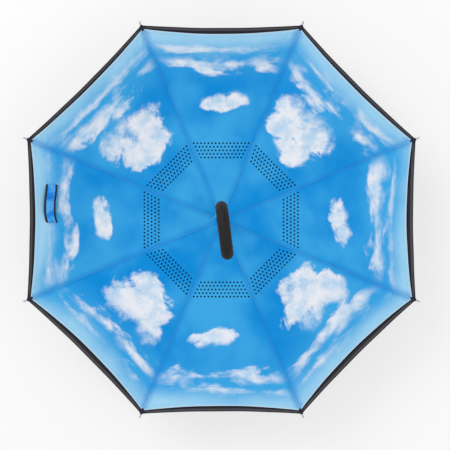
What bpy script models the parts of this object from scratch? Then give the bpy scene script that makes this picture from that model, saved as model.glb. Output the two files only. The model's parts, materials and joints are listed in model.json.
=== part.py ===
"""An inverted, double-layer umbrella with a C handle, modelled open and crown down.

+Z runs along the shaft from the crown to the handle. The origin is on the shaft's axis,
at the middle of the C, where a hand holds it. All lengths are in metres.
"""

import math

import bmesh
import bpy
from mathutils import Matrix, Vector

# Counts and facets
SPOKES = 8
ROUND_FACETS = 32
SMALL_FACETS = 10
BAR_END_FACETS = 6
HANDLE_STEPS = 30
ROD_STEPS = 12
CAP_STEPS = 4
SPRING_TURNS = 2.5
SPRING_STEPS = 10

# Fits
CLEAR = 0.0003
OVERRUN = 0.004
WELD = 0.00001
SHARP_EDGE = math.radians(35)

# Driving sizes of the open frame, seen from the shaft's axis
CORNER_REACH = 0.525
JOINT_REACH = 0.272
RUNNER_PIVOT_REACH = 0.015
CROWN_PIVOT_REACH = 0.012
CORNER_RISE = 0.150
JOINT_RISE = 0.030
CROWN_DROP = 0.060
FIRST_SPOKE = math.radians(22.5)
FOLDED_LEAN = math.radians(2.0)
ROD_BEND = math.radians(11.0)

# Shaft
SHAFT_RADIUS = 0.006
SHAFT_WALL = 0.0008

# C handle
HANDLE_HEIGHT = 0.120
HANDLE_WIDTH = 0.120
HANDLE_BACK = 0.0335
GRIP_RADIUS = 0.012
HANDLE_YAW = math.radians(7.0)
HANDLE_SQUARENESS = 3.0
MOUTH_SHARE = 0.68
NECK_RADIUS = 0.0095
NECK_LENGTH = 0.012
COLLAR_RADIUS = 0.0085
COLLAR_LENGTH = 0.008
COLLAR_BEVEL = 0.0008

# Pivots
PIN_RADIUS = 0.0008
WIRE_RADIUS = 0.0006
WIRE_GROOVE = 0.0009
WIRE_EYE = 0.0016

# Links and rib channels
BAR_HALF_WIDTH = 0.0015
BAR_HALF_HEIGHT = 0.0025
CHANNEL_WALL = 0.0005
CHANNEL_FLOOR = 0.0006
CHANNEL_START = 0.008

# Joint bracket
PLATE_THICKNESS = 0.001
PLATE_HALF_HEIGHT = 0.0035
BRACKET_LENGTH = 0.012
RIVET_HEAD = 0.0005

# Rods and tips
ROD_RADIUS = 0.0014
ROD_STICKOUT = 0.010
TIP_WALL = 0.0005
TIP_RADIUS = ROD_RADIUS + CLEAR + TIP_WALL
TIP_LENGTH = 0.014
TIP_NOSE = 0.0015

# Crown
HUB_RADIUS = 0.017
HUB_TOP = 0.005
HUB_BOTTOM = 0.006
HUB_NECK_RADIUS = 0.0087
HUB_NECK_LENGTH = 0.009
HUB_SLOT_ROOM = 0.0012
HUB_SLOT_START = CROWN_PIVOT_REACH - BAR_HALF_HEIGHT - HUB_SLOT_ROOM
HUB_PIN_RADIUS = 0.0009
HUB_PIN_RISE = 0.010
WASHER_RADIUS = 0.020
WASHER_THICKNESS = 0.001
CAP_LENGTH = 0.020
CAP_RIM = 0.003
CAP_END_RADIUS = 0.007
CAP_PLUG_LENGTH = 0.012

# Runner
RUNNER_RADIUS = 0.0105
RUNNER_HUB_RADIUS = 0.019
RUNNER_TOP = 0.006
RUNNER_BOTTOM = 0.005
RUNNER_SLEEVE = 0.052
RUNNER_FLARE = 0.0015
RUNNER_FLARE_LENGTH = 0.006
RUNNER_SLOT_ROOM = 0.0015
RUNNER_SLOT_START = RUNNER_PIVOT_REACH - BAR_HALF_HEIGHT - RUNNER_SLOT_ROOM
RUNNER_SLOT_HEADROOM = 0.0009
RUNNER_SLOT_CEILING = BAR_HALF_HEIGHT + RUNNER_SLOT_HEADROOM
HOME_GAP = 0.0005
STOP_RADIUS = 0.0085
STOP_LENGTH = 0.004

# Release button and spring
BUTTON_RISE = 0.031
BUTTON_HALF_LENGTH = 0.007
BUTTON_HALF_WIDTH = 0.004
BUTTON_PROUD = 0.002
BUTTON_TRAVEL = 0.0018
BUTTON_BEVEL = 0.0008
POCKET_WALL = 0.0006
POCKET_FLOOR = SHAFT_RADIUS + CLEAR + POCKET_WALL
BUTTON_BASE = POCKET_FLOOR + BUTTON_TRAVEL + CLEAR
BUTTON_TOP = RUNNER_RADIUS + BUTTON_PROUD
SPRING_RADIUS = 0.0024
SPRING_WIRE = 0.00022

# Canopies, clamp ring and strap
CLOTH = 0.0006
CLOTH_JOINT_OFFSET = 0.0046
CLOTH_CORNER_OFFSET = 0.0030
OUTER_HOLE = 0.0068
RING_THICKNESS = 0.0012
STRAP_LENGTH = 0.096
STRAP_WIDTH = 0.028
STRAP_THICKNESS = 0.0012
STRAP_ARCH = 0.006
STRAP_FROM_HEM = 0.048
STRAP_ASIDE = 0.041
STRAP_STEPS = 10

# Lateral layout of one spoke: rod and channel in the middle, plates beside them, link outside
PLATE_INNER = BAR_HALF_WIDTH + CLEAR
PLATE_OUTER = PLATE_INNER + PLATE_THICKNESS
LINK_SIDE = PLATE_OUTER + CLEAR + BAR_HALF_WIDTH

# Lengths of the linkage
CHANNEL_SPAN = math.hypot(JOINT_REACH - RUNNER_PIVOT_REACH, JOINT_RISE)
LINK_SPAN = math.hypot(JOINT_REACH - CROWN_PIVOT_REACH, JOINT_RISE + CROWN_DROP)
ROD_SPAN = math.hypot(CORNER_REACH - JOINT_REACH, CORNER_RISE - JOINT_RISE)
CHANNEL_SLOPE = math.atan2(JOINT_RISE, JOINT_REACH - RUNNER_PIVOT_REACH)
LINK_SLOPE = math.atan2(JOINT_RISE + CROWN_DROP, JOINT_REACH - CROWN_PIVOT_REACH)
ROD_SLOPE = math.atan2(CORNER_RISE - JOINT_RISE, CORNER_REACH - JOINT_REACH)

# Heights, from the grip down to the crown
HANDLE_HALF = HANDLE_HEIGHT / 2 - GRIP_RADIUS
HANDLE_REACH = HANDLE_WIDTH / 2 - GRIP_RADIUS
HANDLE_MIDDLE = HANDLE_WIDTH / 2 - HANDLE_BACK
ARM_SHARE = (1 - (HANDLE_MIDDLE / HANDLE_REACH) ** HANDLE_SQUARENESS) ** (1 / HANDLE_SQUARENESS)
SHAFT_TOP = -HANDLE_HALF * ARM_SHARE
NECK_END = -HANDLE_HEIGHT / 2 - NECK_LENGTH
COLLAR_TOP = NECK_END - CLEAR
COLLAR_END = COLLAR_TOP - COLLAR_LENGTH
FOLDED_PIVOT = COLLAR_END - HOME_GAP - RUNNER_SLEEVE
FOLDED_JOINT_REACH = RUNNER_PIVOT_REACH + CHANNEL_SPAN * math.sin(FOLDED_LEAN)
FOLDED_LINK_LEAN = math.asin((FOLDED_JOINT_REACH - CROWN_PIVOT_REACH) / LINK_SPAN)
FOLDED_JOINT = FOLDED_PIVOT - CHANNEL_SPAN * math.cos(FOLDED_LEAN)
CROWN_PIVOT = FOLDED_JOINT - LINK_SPAN * math.cos(FOLDED_LINK_LEAN)
RUNNER_PIVOT = CROWN_PIVOT + CROWN_DROP
SHAFT_END = CROWN_PIVOT - HUB_BOTTOM


def make_collection(name):
    """A new collection of the scene."""
    group = bpy.data.collections.new(name)
    bpy.context.scene.collection.children.link(group)
    return group


def material(name, colour, roughness, metallic=0.0):
    """One Principled material."""
    made = bpy.data.materials.new(name)
    made.use_nodes = True
    shader = made.node_tree.nodes["Principled BSDF"]
    shader.inputs["Base Color"].default_value = (*colour, 1)
    shader.inputs["Roughness"].default_value = roughness
    shader.inputs["Metallic"].default_value = metallic
    return made


def place(group, name, mesh, look, parent=None, at=(0, 0, 0), turn=(0, 0, 0)):
    """A named object for a mesh, in a collection, with its material and its place."""
    thing = bpy.data.objects.new(name, mesh)
    if look and not mesh.materials:
        mesh.materials.append(look)
    thing.parent = parent
    thing.location = at
    thing.rotation_euler = turn
    group.objects.link(thing)
    return thing


def evaluated_mesh(thing):
    """The mesh of an object with its modifiers, and the object itself removed."""
    bpy.context.view_layer.update()
    graph = bpy.context.evaluated_depsgraph_get()
    mesh = bpy.data.meshes.new_from_object(thing.evaluated_get(graph))
    mesh.transform(thing.matrix_world)
    bpy.data.objects.remove(thing)
    work = bmesh.new()
    work.from_mesh(mesh)
    bmesh.ops.remove_doubles(work, verts=work.verts, dist=WELD)
    bmesh.ops.recalc_face_normals(work, faces=work.faces)
    work.to_mesh(mesh)
    work.free()
    mesh.materials.clear()
    mesh.shade_smooth()
    mesh.set_sharp_from_angle(angle=SHARP_EDGE)
    return mesh


def turned(profile, facets=ROUND_FACETS, closed=True):
    """A solid turned round Z from (radius, height) points that run down the outer side."""
    count = len(profile)
    edges = [(i, i + 1) for i in range(count - 1)]
    if closed:
        edges.append((count - 1, 0))
    line = bpy.data.meshes.new("profile")
    line.from_pydata([(radius, 0, height) for radius, height in profile], edges, [])
    thing = place(bpy.context.scene.collection, "turned", line, None)
    screw = thing.modifiers.new("Screw", "SCREW")
    screw.steps = facets
    screw.render_steps = facets
    screw.use_merge_vertices = True
    screw.merge_threshold = WELD
    return evaluated_mesh(thing)


def extruded(outline, half_thickness):
    """A flat outline in X and Z, given as (x, z) points, with its thickness along Y."""
    curve = bpy.data.curves.new("outline", "CURVE")
    curve.dimensions = "2D"
    curve.fill_mode = "BOTH"
    curve.extrude = half_thickness
    spline = curve.splines.new("POLY")
    spline.points.add(len(outline) - 1)
    for point, (across, up) in zip(spline.points, outline):
        point.co = (across, up, 0, 1)
    spline.use_cyclic_u = True
    thing = place_curve(curve)
    thing.rotation_euler = (math.pi / 2, 0, 0)
    return evaluated_mesh(thing)


def place_curve(curve):
    """A curve object in the scene, soon to be a mesh."""
    thing = bpy.data.objects.new("curve", curve)
    bpy.context.scene.collection.objects.link(thing)
    return thing


def tube(points, radius, resolution, tapers=None):
    """A solid tube along points, with filled caps and an optional share of the radius at each."""
    curve = bpy.data.curves.new("tube", "CURVE")
    curve.dimensions = "3D"
    curve.bevel_depth = radius
    curve.bevel_resolution = resolution
    curve.use_fill_caps = True
    spline = curve.splines.new("POLY")
    spline.points.add(len(points) - 1)
    shares = tapers or [1] * len(points)
    for point, place_at, share in zip(spline.points, points, shares):
        point.co = (*place_at, 1)
        point.radius = share
    return evaluated_mesh(place_curve(curve))


def box(low, high):
    """A box between two corners."""
    work = bmesh.new()
    bmesh.ops.create_cube(work, size=1)
    size = Vector(high) - Vector(low)
    middle = (Vector(high) + Vector(low)) / 2
    bmesh.ops.scale(work, vec=size, verts=work.verts)
    bmesh.ops.translate(work, vec=middle, verts=work.verts)
    mesh = bpy.data.meshes.new("box")
    work.to_mesh(mesh)
    work.free()
    return mesh


def cross_pin(radius, near, far, at_x=0.0, at_z=0.0, facets=SMALL_FACETS):
    """A cylinder along Y from near to far."""
    work = bmesh.new()
    spin = Matrix.Rotation(math.pi / 2, 4, "X")
    shift = Matrix.Translation((at_x, (near + far) / 2, at_z))
    bmesh.ops.create_cone(work, cap_ends=True, segments=facets, radius1=radius, radius2=radius,
                          depth=abs(far - near), matrix=shift @ spin)
    mesh = bpy.data.meshes.new("pin")
    work.to_mesh(mesh)
    work.free()
    return mesh


def combined(mesh, others, operation):
    """A mesh joined with, or cut by, each of the others."""
    body = place(bpy.context.scene.collection, "body", mesh, None)
    helpers = []
    for other in others:
        helper = place(bpy.context.scene.collection, "cutter", other, None)
        helper.hide_render = True
        helper.display_type = "WIRE"
        step = body.modifiers.new(operation, "BOOLEAN")
        step.operation = operation
        step.object = helper
        helpers.append(helper)
    result = evaluated_mesh(body)
    for helper in helpers:
        bpy.data.objects.remove(helper)
    return result


def turned_copy(mesh, angle):
    """A copy of a mesh turned round Z."""
    copy = mesh.copy()
    copy.transform(Matrix.Rotation(angle, 4, "Z"))
    return copy


def bar_outline(length, half_height):
    """A straight bar along X with a round eye at each end."""
    points = []
    for middle, start in ((length, -math.pi / 2), (0, math.pi / 2)):
        for step in range(BAR_END_FACETS + 1):
            angle = start + math.pi * step / BAR_END_FACETS
            points.append((middle + half_height * math.cos(angle), half_height * math.sin(angle)))
    return points


def channel_bar(length, open_side, first_eye, last_eye):
    """A pressed channel with solid eyes, open towards +Z or -Z."""
    solid = extruded(bar_outline(length, BAR_HALF_HEIGHT), BAR_HALF_WIDTH)
    inside = BAR_HALF_WIDTH - CHANNEL_WALL
    floor = -open_side * (BAR_HALF_HEIGHT - CHANNEL_FLOOR)
    mouth = open_side * (BAR_HALF_HEIGHT + OVERRUN)
    low = (CHANNEL_START, -inside, min(floor, mouth))
    high = (length - CHANNEL_START, inside, max(floor, mouth))
    reach = BAR_HALF_WIDTH + OVERRUN
    cutters = [box(low, high), cross_pin(first_eye, -reach, reach)]
    cutters.append(cross_pin(last_eye, -reach, reach, at_x=length))
    return combined(solid, cutters, "DIFFERENCE")


def rod_points(stickout=0.0):
    """The rod's bend in its own plane, as (outward, up) from the joint."""
    sag = ROD_SPAN * ROD_BEND / 8
    points = []
    for step in range(ROD_STEPS + 1):
        share = step / ROD_STEPS
        along = ROD_SPAN * share
        across = -4 * sag * share * (1 - share)
        points.append(turned_pair(along, across, ROD_SLOPE))
    if stickout:
        end = rod_end_slope()
        last = points[-1]
        points.append((last[0] + stickout * math.cos(end), last[1] + stickout * math.sin(end)))
    return points


def rod_end_slope():
    """The slope of the rod where it leaves the canopy's corner."""
    return ROD_SLOPE + math.atan(ROD_BEND / 2)


def turned_pair(along, across, angle):
    """A flat point turned by an angle."""
    out = along * math.cos(angle) - across * math.sin(angle)
    up = along * math.sin(angle) + across * math.cos(angle)
    return out, up


def rod_mesh():
    """The fibreglass rod with its flat eye at the joint."""
    points = rod_points(ROD_STICKOUT)
    step_out = points[1]
    start_share = (PIN_RADIUS + CLEAR + ROD_RADIUS / 2) / math.hypot(*step_out)
    points[0] = (step_out[0] * start_share, step_out[1] * start_share)
    line = tube([(out, 0, up) for out, up in points], ROD_RADIUS, 2)
    eye = cross_pin(BAR_HALF_HEIGHT, -BAR_HALF_WIDTH, BAR_HALF_WIDTH)
    joined = combined(eye, [line], "UNION")
    reach = BAR_HALF_WIDTH + OVERRUN
    return combined(joined, [cross_pin(PIN_RADIUS + CLEAR, -reach, reach)], "DIFFERENCE")


def tip_mesh():
    """A blind metal cap over the end of a rod, its closed end at +Z."""
    bore = ROD_RADIUS + CLEAR
    nose = TIP_RADIUS - TIP_WALL
    profile = [(0, TIP_NOSE), (nose, TIP_NOSE), (TIP_RADIUS, TIP_NOSE - TIP_WALL),
               (TIP_RADIUS, -TIP_LENGTH), (bore, -TIP_LENGTH), (bore, CLEAR), (0, CLEAR)]
    return turned(profile, SMALL_FACETS, closed=False)


def bracket_mesh():
    """Two plates and two rivets round the joint, the rear rivet holding the rib channel."""
    outline = [(x - BRACKET_LENGTH, z) for x, z in bar_outline(BRACKET_LENGTH, PLATE_HALF_HEIGHT)]
    half = PLATE_THICKNESS / 2
    middle = PLATE_INNER + half
    parts = []
    for side in (1, -1):
        plate = extruded(outline, half)
        plate.transform(Matrix.Translation((0, side * middle, 0)))
        parts.append(plate)
    for x in (0, -BRACKET_LENGTH):
        parts.append(cross_pin(PIN_RADIUS, -PLATE_OUTER - RIVET_HEAD, middle, at_x=x))
    return combined(parts[0], parts[1:], "UNION")


def hub_slots(start, side, low, high, reach):
    """The cutters of eight slots beside or on the spokes."""
    half = BAR_HALF_WIDTH + CLEAR
    cutters = []
    for number in range(SPOKES):
        slot = box((start, side - half, low), (reach + OVERRUN, side + half, high))
        cutters.append(turned_copy(slot, spoke_angle(number)))
    return cutters


def wire_groove(radius, outside):
    """The cutter of a groove for a pivot wire, open to the outside."""
    inner = radius - WIRE_GROOVE
    outer = outside + OVERRUN
    profile = [(outer, WIRE_GROOVE), (outer, -WIRE_GROOVE), (inner, -WIRE_GROOVE), (inner, WIRE_GROOVE)]
    return turned(profile)


def wire_ring(radius):
    """A pivot wire bent into a ring."""
    points = [(radius * math.cos(2 * math.pi * step / ROUND_FACETS),
               radius * math.sin(2 * math.pi * step / ROUND_FACETS)) for step in range(ROUND_FACETS)]
    curve = bpy.data.curves.new("ring", "CURVE")
    curve.dimensions = "3D"
    curve.bevel_depth = WIRE_RADIUS
    curve.bevel_resolution = 1
    spline = curve.splines.new("POLY")
    spline.points.add(len(points) - 1)
    for point, (x, y) in zip(spline.points, points):
        point.co = (x, y, 0, 1)
    spline.use_cyclic_u = True
    return evaluated_mesh(place_curve(curve))


def spoke_angle(number):
    """The direction of a spoke, seen from above the handle."""
    return FIRST_SPOKE + 2 * math.pi * number / SPOKES


def crown_wire_radius():
    """The link pivots lie beside the spokes, so their wire is a little wider."""
    return math.hypot(CROWN_PIVOT_REACH, LINK_SIDE)


def shaft(group, looks):
    """The thin steel tube from the crown into the handle."""
    inner = SHAFT_RADIUS - SHAFT_WALL
    profile = [(SHAFT_RADIUS, SHAFT_TOP), (SHAFT_RADIUS, SHAFT_END), (inner, SHAFT_END), (inner, SHAFT_TOP)]
    tube_mesh = turned(profile)
    hole = cross_pin(HUB_PIN_RADIUS + CLEAR, -HUB_NECK_RADIUS, HUB_NECK_RADIUS,
                     at_z=CROWN_PIVOT + HUB_PIN_RISE)
    place(group, "shaft_tube", combined(tube_mesh, [hole], "DIFFERENCE"), looks["steel"])


def handle_line():
    """The centre line of the C from its lower end round the back to its upper end."""
    limit = math.asin(MOUTH_SHARE ** (HANDLE_SQUARENESS / 2))
    points = []
    for step in range(HANDLE_STEPS + 1):
        angle = -limit - (2 * math.pi - 2 * limit) * step / HANDLE_STEPS
        power = 2 / HANDLE_SQUARENESS
        across = math.copysign(abs(math.cos(angle)) ** power, math.cos(angle))
        up = math.copysign(abs(math.sin(angle)) ** power, math.sin(angle))
        points.append(Vector((HANDLE_MIDDLE + HANDLE_REACH * across, 0, HANDLE_HALF * up)))
    return points


def with_round_ends(points, radius):
    """Points and radius shares of a tube whose two ends are rounded."""
    first = (points[0] - points[1]).normalized()
    last = (points[-1] - points[-2]).normalized()
    caps = [math.pi / 2 * step / CAP_STEPS for step in range(1, CAP_STEPS)]
    start = [(points[0] + first * radius * math.sin(a), math.cos(a)) for a in reversed(caps)]
    end = [(points[-1] + last * radius * math.sin(a), math.cos(a)) for a in caps]
    pairs = start + [(point, 1) for point in points] + end
    return [point for point, share in pairs], [share for point, share in pairs]


def handle(group, looks):
    """The C handle with its neck, bored for the shaft, and the collar under it."""
    points, shares = with_round_ends(handle_line(), GRIP_RADIUS)
    grip = tube(points, GRIP_RADIUS, 6, shares)
    neck = turned([(0, SHAFT_TOP), (NECK_RADIUS, SHAFT_TOP), (NECK_RADIUS, NECK_END), (0, NECK_END)],
                  closed=False)
    bore = SHAFT_RADIUS + CLEAR
    hole = turned([(0, SHAFT_TOP + CLEAR), (bore, SHAFT_TOP + CLEAR), (bore, NECK_END - OVERRUN),
                   (0, NECK_END - OVERRUN)], closed=False)
    body = combined(combined(grip, [neck], "UNION"), [hole], "DIFFERENCE")
    place(group, "c_handle", body, looks["black"], turn=(0, 0, -math.pi / 2 + HANDLE_YAW))
    chamfer = COLLAR_RADIUS - COLLAR_BEVEL
    ring = turned([(chamfer, COLLAR_TOP), (COLLAR_RADIUS, COLLAR_TOP - COLLAR_BEVEL),
                   (COLLAR_RADIUS, COLLAR_END + COLLAR_BEVEL), (chamfer, COLLAR_END),
                   (bore, COLLAR_END), (bore, COLLAR_TOP)])
    place(group, "handle_collar", ring, looks["steel"])


def crown(group, looks):
    """The slotted hub on the shaft's end, its wire and pin, and the cap that clamps the canopy."""
    bore = SHAFT_RADIUS + CLEAR
    neck_top = HUB_TOP + HUB_NECK_LENGTH
    profile = [(HUB_NECK_RADIUS, neck_top), (HUB_NECK_RADIUS, HUB_TOP), (HUB_RADIUS, HUB_TOP),
               (HUB_RADIUS, -HUB_BOTTOM), (bore, -HUB_BOTTOM), (bore, neck_top)]
    wire = crown_wire_radius()
    cutters = [wire_groove(wire, HUB_RADIUS)]
    floor = -BAR_HALF_HEIGHT - CLEAR
    cutters += hub_slots(HUB_SLOT_START, LINK_SIDE, floor, HUB_TOP + OVERRUN, HUB_RADIUS)
    reach = HUB_NECK_RADIUS + OVERRUN
    cutters.append(cross_pin(HUB_PIN_RADIUS + CLEAR, -reach, reach, at_z=HUB_PIN_RISE))
    middle = (0, 0, CROWN_PIVOT)
    place(group, "crown_hub", combined(turned(profile), cutters, "DIFFERENCE"), looks["black"], at=middle)
    place(group, "crown_pivot_wire", wire_ring(wire), looks["steel"], at=middle)
    pin = cross_pin(HUB_PIN_RADIUS, -HUB_NECK_RADIUS, HUB_NECK_RADIUS, at_z=HUB_PIN_RISE)
    place(group, "crown_hub_pin", pin, looks["steel"], at=middle)
    washer_top = outer_hub_level() - CLOTH / 2 - CLEAR
    washer_end = washer_top - WASHER_THICKNESS
    washer = turned([(WASHER_RADIUS, washer_top), (WASHER_RADIUS, washer_end),
                     (OUTER_HOLE, washer_end), (OUTER_HOLE, washer_top)])
    place(group, "crown_washer", washer, looks["black"], at=middle)
    cap_top = washer_end - CLEAR
    plug = SHAFT_RADIUS - SHAFT_WALL - CLEAR
    cap = turned([(0, cap_top + CAP_PLUG_LENGTH), (plug, cap_top + CAP_PLUG_LENGTH), (plug, cap_top),
                  (HUB_RADIUS, cap_top), (HUB_RADIUS, cap_top - CAP_RIM),
                  (CAP_END_RADIUS, cap_top - CAP_LENGTH), (0, cap_top - CAP_LENGTH)], closed=False)
    place(group, "crown_cap", cap, looks["black"], at=middle)


def outer_hub_level():
    """The middle of the black cloth under the crown hub, from the crown pivot."""
    return -HUB_BOTTOM - CLEAR - CLOTH / 2


def inner_hub_level():
    """The middle of the blue cloth above the runner hub, from the runner pivot."""
    return RUNNER_TOP + CLEAR + CLOTH / 2


def runner(group, looks):
    """The sliding runner, its wire, button, spring and clamp ring."""
    bore = SHAFT_RADIUS + CLEAR
    flare = RUNNER_RADIUS + RUNNER_FLARE
    flare_start = RUNNER_SLEEVE - RUNNER_FLARE_LENGTH
    profile = [(flare, RUNNER_SLEEVE), (flare, flare_start), (RUNNER_RADIUS, flare_start - RUNNER_FLARE),
               (RUNNER_RADIUS, RUNNER_TOP), (RUNNER_HUB_RADIUS, RUNNER_TOP),
               (RUNNER_HUB_RADIUS, -RUNNER_BOTTOM), (bore, -RUNNER_BOTTOM), (bore, RUNNER_SLEEVE)]
    cutters = [wire_groove(RUNNER_PIVOT_REACH, RUNNER_HUB_RADIUS)]
    cutters += hub_slots(RUNNER_SLOT_START, 0, -RUNNER_BOTTOM - OVERRUN, RUNNER_SLOT_CEILING,
                         RUNNER_HUB_RADIUS)
    wide = BUTTON_HALF_WIDTH + CLEAR
    tall = BUTTON_HALF_LENGTH + CLEAR
    pocket = box((POCKET_FLOOR, -wide, BUTTON_RISE - tall), (flare, wide, BUTTON_RISE + tall))
    cutters.append(pocket)
    middle = (0, 0, RUNNER_PIVOT)
    place(group, "runner", combined(turned(profile), cutters, "DIFFERENCE"), looks["black"], at=middle)
    place(group, "runner_pivot_wire", wire_ring(RUNNER_PIVOT_REACH), looks["steel"], at=middle)
    button = place(group, "release_button", box(
        (BUTTON_BASE, -BUTTON_HALF_WIDTH, BUTTON_RISE - BUTTON_HALF_LENGTH),
        (BUTTON_TOP, BUTTON_HALF_WIDTH, BUTTON_RISE + BUTTON_HALF_LENGTH)), looks["grey"], at=middle)
    rounding = button.modifiers.new("Bevel", "BEVEL")
    rounding.width = BUTTON_BEVEL
    rounding.segments = 2
    coil = spring_points(POCKET_FLOOR + CLEAR + SPRING_WIRE, BUTTON_BASE - CLEAR - SPRING_WIRE)
    place(group, "button_spring", tube(coil, SPRING_WIRE, 1), looks["steel"], at=middle)
    ring_low = inner_hub_level() + CLOTH / 2 + CLEAR
    ring_high = ring_low + RING_THICKNESS
    sleeve = RUNNER_RADIUS + CLEAR
    ring = turned([(RUNNER_HUB_RADIUS, ring_high), (RUNNER_HUB_RADIUS, ring_low), (sleeve, ring_low),
                   (sleeve, ring_high)])
    place(group, "canopy_clamp_ring", ring, looks["black"], at=middle)
    stop_top = -RUNNER_BOTTOM - CLEAR
    stop = turned([(STOP_RADIUS, stop_top), (STOP_RADIUS, stop_top - STOP_LENGTH),
                   (bore, stop_top - STOP_LENGTH), (bore, stop_top)])
    place(group, "open_stop_ring", stop, looks["steel"], at=middle)


def spring_points(near, far):
    """A small coil along X between the pocket's floor and the button."""
    count = round(SPRING_TURNS * SPRING_STEPS)
    points = []
    for step in range(count + 1):
        angle = 2 * math.pi * step / SPRING_STEPS
        out = near + (far - near) * step / count
        points.append((out, SPRING_RADIUS * math.cos(angle), BUTTON_RISE + SPRING_RADIUS * math.sin(angle)))
    return points


def spokes(group, looks):
    """Eight spokes, each with its link, rib channel, bracket, rod and tip."""
    link = channel_bar(LINK_SPAN, 1, WIRE_EYE, PIN_RADIUS + CLEAR)
    channel = channel_bar(CHANNEL_SPAN - BRACKET_LENGTH, -1, WIRE_GROOVE, PIN_RADIUS + CLEAR)
    bracket = bracket_mesh()
    rod = rod_mesh()
    tip = tip_mesh()
    joint = (JOINT_REACH, 0, RUNNER_PIVOT + JOINT_RISE)
    end_out, end_up = rod_points(ROD_STICKOUT)[-1]
    end = (JOINT_REACH + end_out, 0, RUNNER_PIVOT + JOINT_RISE + end_up)
    for number in range(SPOKES):
        spoke = bpy.data.objects.new(f"spoke_{number + 1}", None)
        spoke.rotation_euler = (0, 0, spoke_angle(number))
        group.objects.link(spoke)
        label = number + 1
        place(group, f"link_{label}", link, looks["steel"], spoke,
              (CROWN_PIVOT_REACH, LINK_SIDE, CROWN_PIVOT), (0, -LINK_SLOPE, 0))
        place(group, f"rib_channel_{label}", channel, looks["steel"], spoke,
              (RUNNER_PIVOT_REACH, 0, RUNNER_PIVOT), (0, -CHANNEL_SLOPE, 0))
        place(group, f"joint_bracket_{label}", bracket, looks["black"], spoke, joint,
              (0, -CHANNEL_SLOPE, 0))
        place(group, f"rod_{label}", rod, looks["fibreglass"], spoke, joint)
        place(group, f"tip_{label}", tip, looks["steel"], spoke, end,
              (0, math.pi / 2 - rod_end_slope(), 0))


def offset_rod_line(side):
    """The cloth's line along a rod, on its handle side (1) or crown side (-1)."""
    points = rod_points()
    line = []
    for step, (out, up) in enumerate(points):
        share = step / ROD_STEPS
        gap = CLOTH_JOINT_OFFSET + (CLOTH_CORNER_OFFSET - CLOTH_JOINT_OFFSET) * share
        slope = ROD_SLOPE + math.atan(ROD_BEND / 2) * (2 * share - 1)
        line.append((JOINT_REACH + out - side * gap * math.sin(slope),
                     RUNNER_PIVOT + JOINT_RISE + up + side * gap * math.cos(slope)))
    return line


def canopy(group, name, line, look):
    """Eight flat-chorded gores from one line along the spokes, with a hole at the shaft."""
    mesh = bpy.data.meshes.new(name)
    edges = [(i, i + 1) for i in range(len(line) - 1)]
    mesh.from_pydata([(radius, 0, height) for radius, height in line], edges, [])
    thing = place(group, name, mesh, look, turn=(0, 0, FIRST_SPOKE))
    screw = thing.modifiers.new("Gores", "SCREW")
    screw.steps = SPOKES
    screw.render_steps = SPOKES
    screw.use_merge_vertices = True
    screw.merge_threshold = WELD
    cloth = thing.modifiers.new("Cloth", "SOLIDIFY")
    cloth.thickness = CLOTH
    cloth.offset = 0


def canopies(group, looks):
    """The black canopy on the crown side and the blue one on the handle side."""
    apothem = math.cos(math.pi / SPOKES)
    crown_level = CROWN_PIVOT + outer_hub_level()
    outer = [(OUTER_HOLE / apothem, crown_level), (WASHER_RADIUS / apothem, crown_level)]
    canopy(group, "outer_canopy", outer + offset_rod_line(-1), looks["black_cloth"])
    runner_level = RUNNER_PIVOT + inner_hub_level()
    sleeve = RUNNER_RADIUS + CLEAR
    inner = [(sleeve / apothem, runner_level), (RUNNER_HUB_RADIUS / apothem, runner_level)]
    canopy(group, "inner_canopy", inner + offset_rod_line(1), looks["blue_cloth"])


def strap(group, looks):
    """The closing strap, an arched band on the blue cloth of the gore at -X."""
    line = offset_rod_line(1)
    apothem = math.cos(math.pi / SPOKES)
    reach = line[-1][0] * apothem - STRAP_FROM_HEM
    before = max(i for i, point in enumerate(line) if point[0] * apothem < reach)
    low = line[before]
    high = line[before + 1]
    slope = math.atan2(high[1] - low[1], (high[0] - low[0]) * apothem)
    level = low[1] + (reach / apothem - low[0]) * (high[1] - low[1]) / (high[0] - low[0])
    upper = []
    lower = []
    for step in range(STRAP_STEPS + 1):
        share = 2 * step / STRAP_STEPS - 1
        rise = STRAP_ARCH * (1 - share * share)
        upper.append((STRAP_LENGTH / 2 * share, rise + STRAP_THICKNESS))
        lower.append((STRAP_LENGTH / 2 * share, rise))
    band = extruded(lower + upper[::-1], STRAP_WIDTH / 2)
    along_hem = Matrix.Rotation(math.pi / 2, 4, "Z")
    lean = Matrix.Rotation(slope, 4, "Y")
    band.transform(lean @ along_hem)
    seat = CLOTH / 2 + CLEAR
    at = (seat * math.sin(slope) - reach, STRAP_ASIDE, level + seat * math.cos(slope))
    place(group, "closing_strap", band, looks["blue_cloth"], at=at)


def main():
    """Clears the scene and builds the umbrella."""
    for thing in list(bpy.data.objects):
        bpy.data.objects.remove(thing)
    group = make_collection("inverted_umbrella")
    looks = {
        "steel": material("plated_steel", (0.55, 0.56, 0.58), 0.3, 1.0),
        "black": material("black_plastic", (0.025, 0.024, 0.026), 0.5),
        "grey": material("grey_plastic", (0.2, 0.2, 0.21), 0.45),
        "fibreglass": material("grey_fibreglass", (0.05, 0.05, 0.055), 0.4),
        "black_cloth": material("black_pongee", (0.03, 0.03, 0.035), 0.85),
        "blue_cloth": material("sky_pongee", (0.03, 0.32, 0.72), 0.8),
    }
    shaft(group, looks)
    handle(group, looks)
    crown(group, looks)
    runner(group, looks)
    spokes(group, looks)
    canopies(group, looks)
    strap(group, looks)
    bpy.context.view_layer.update()


main()
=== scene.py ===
"""The looks of an inverted umbrella: its two cloths, print, handle, strap, trims and stage."""

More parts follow.
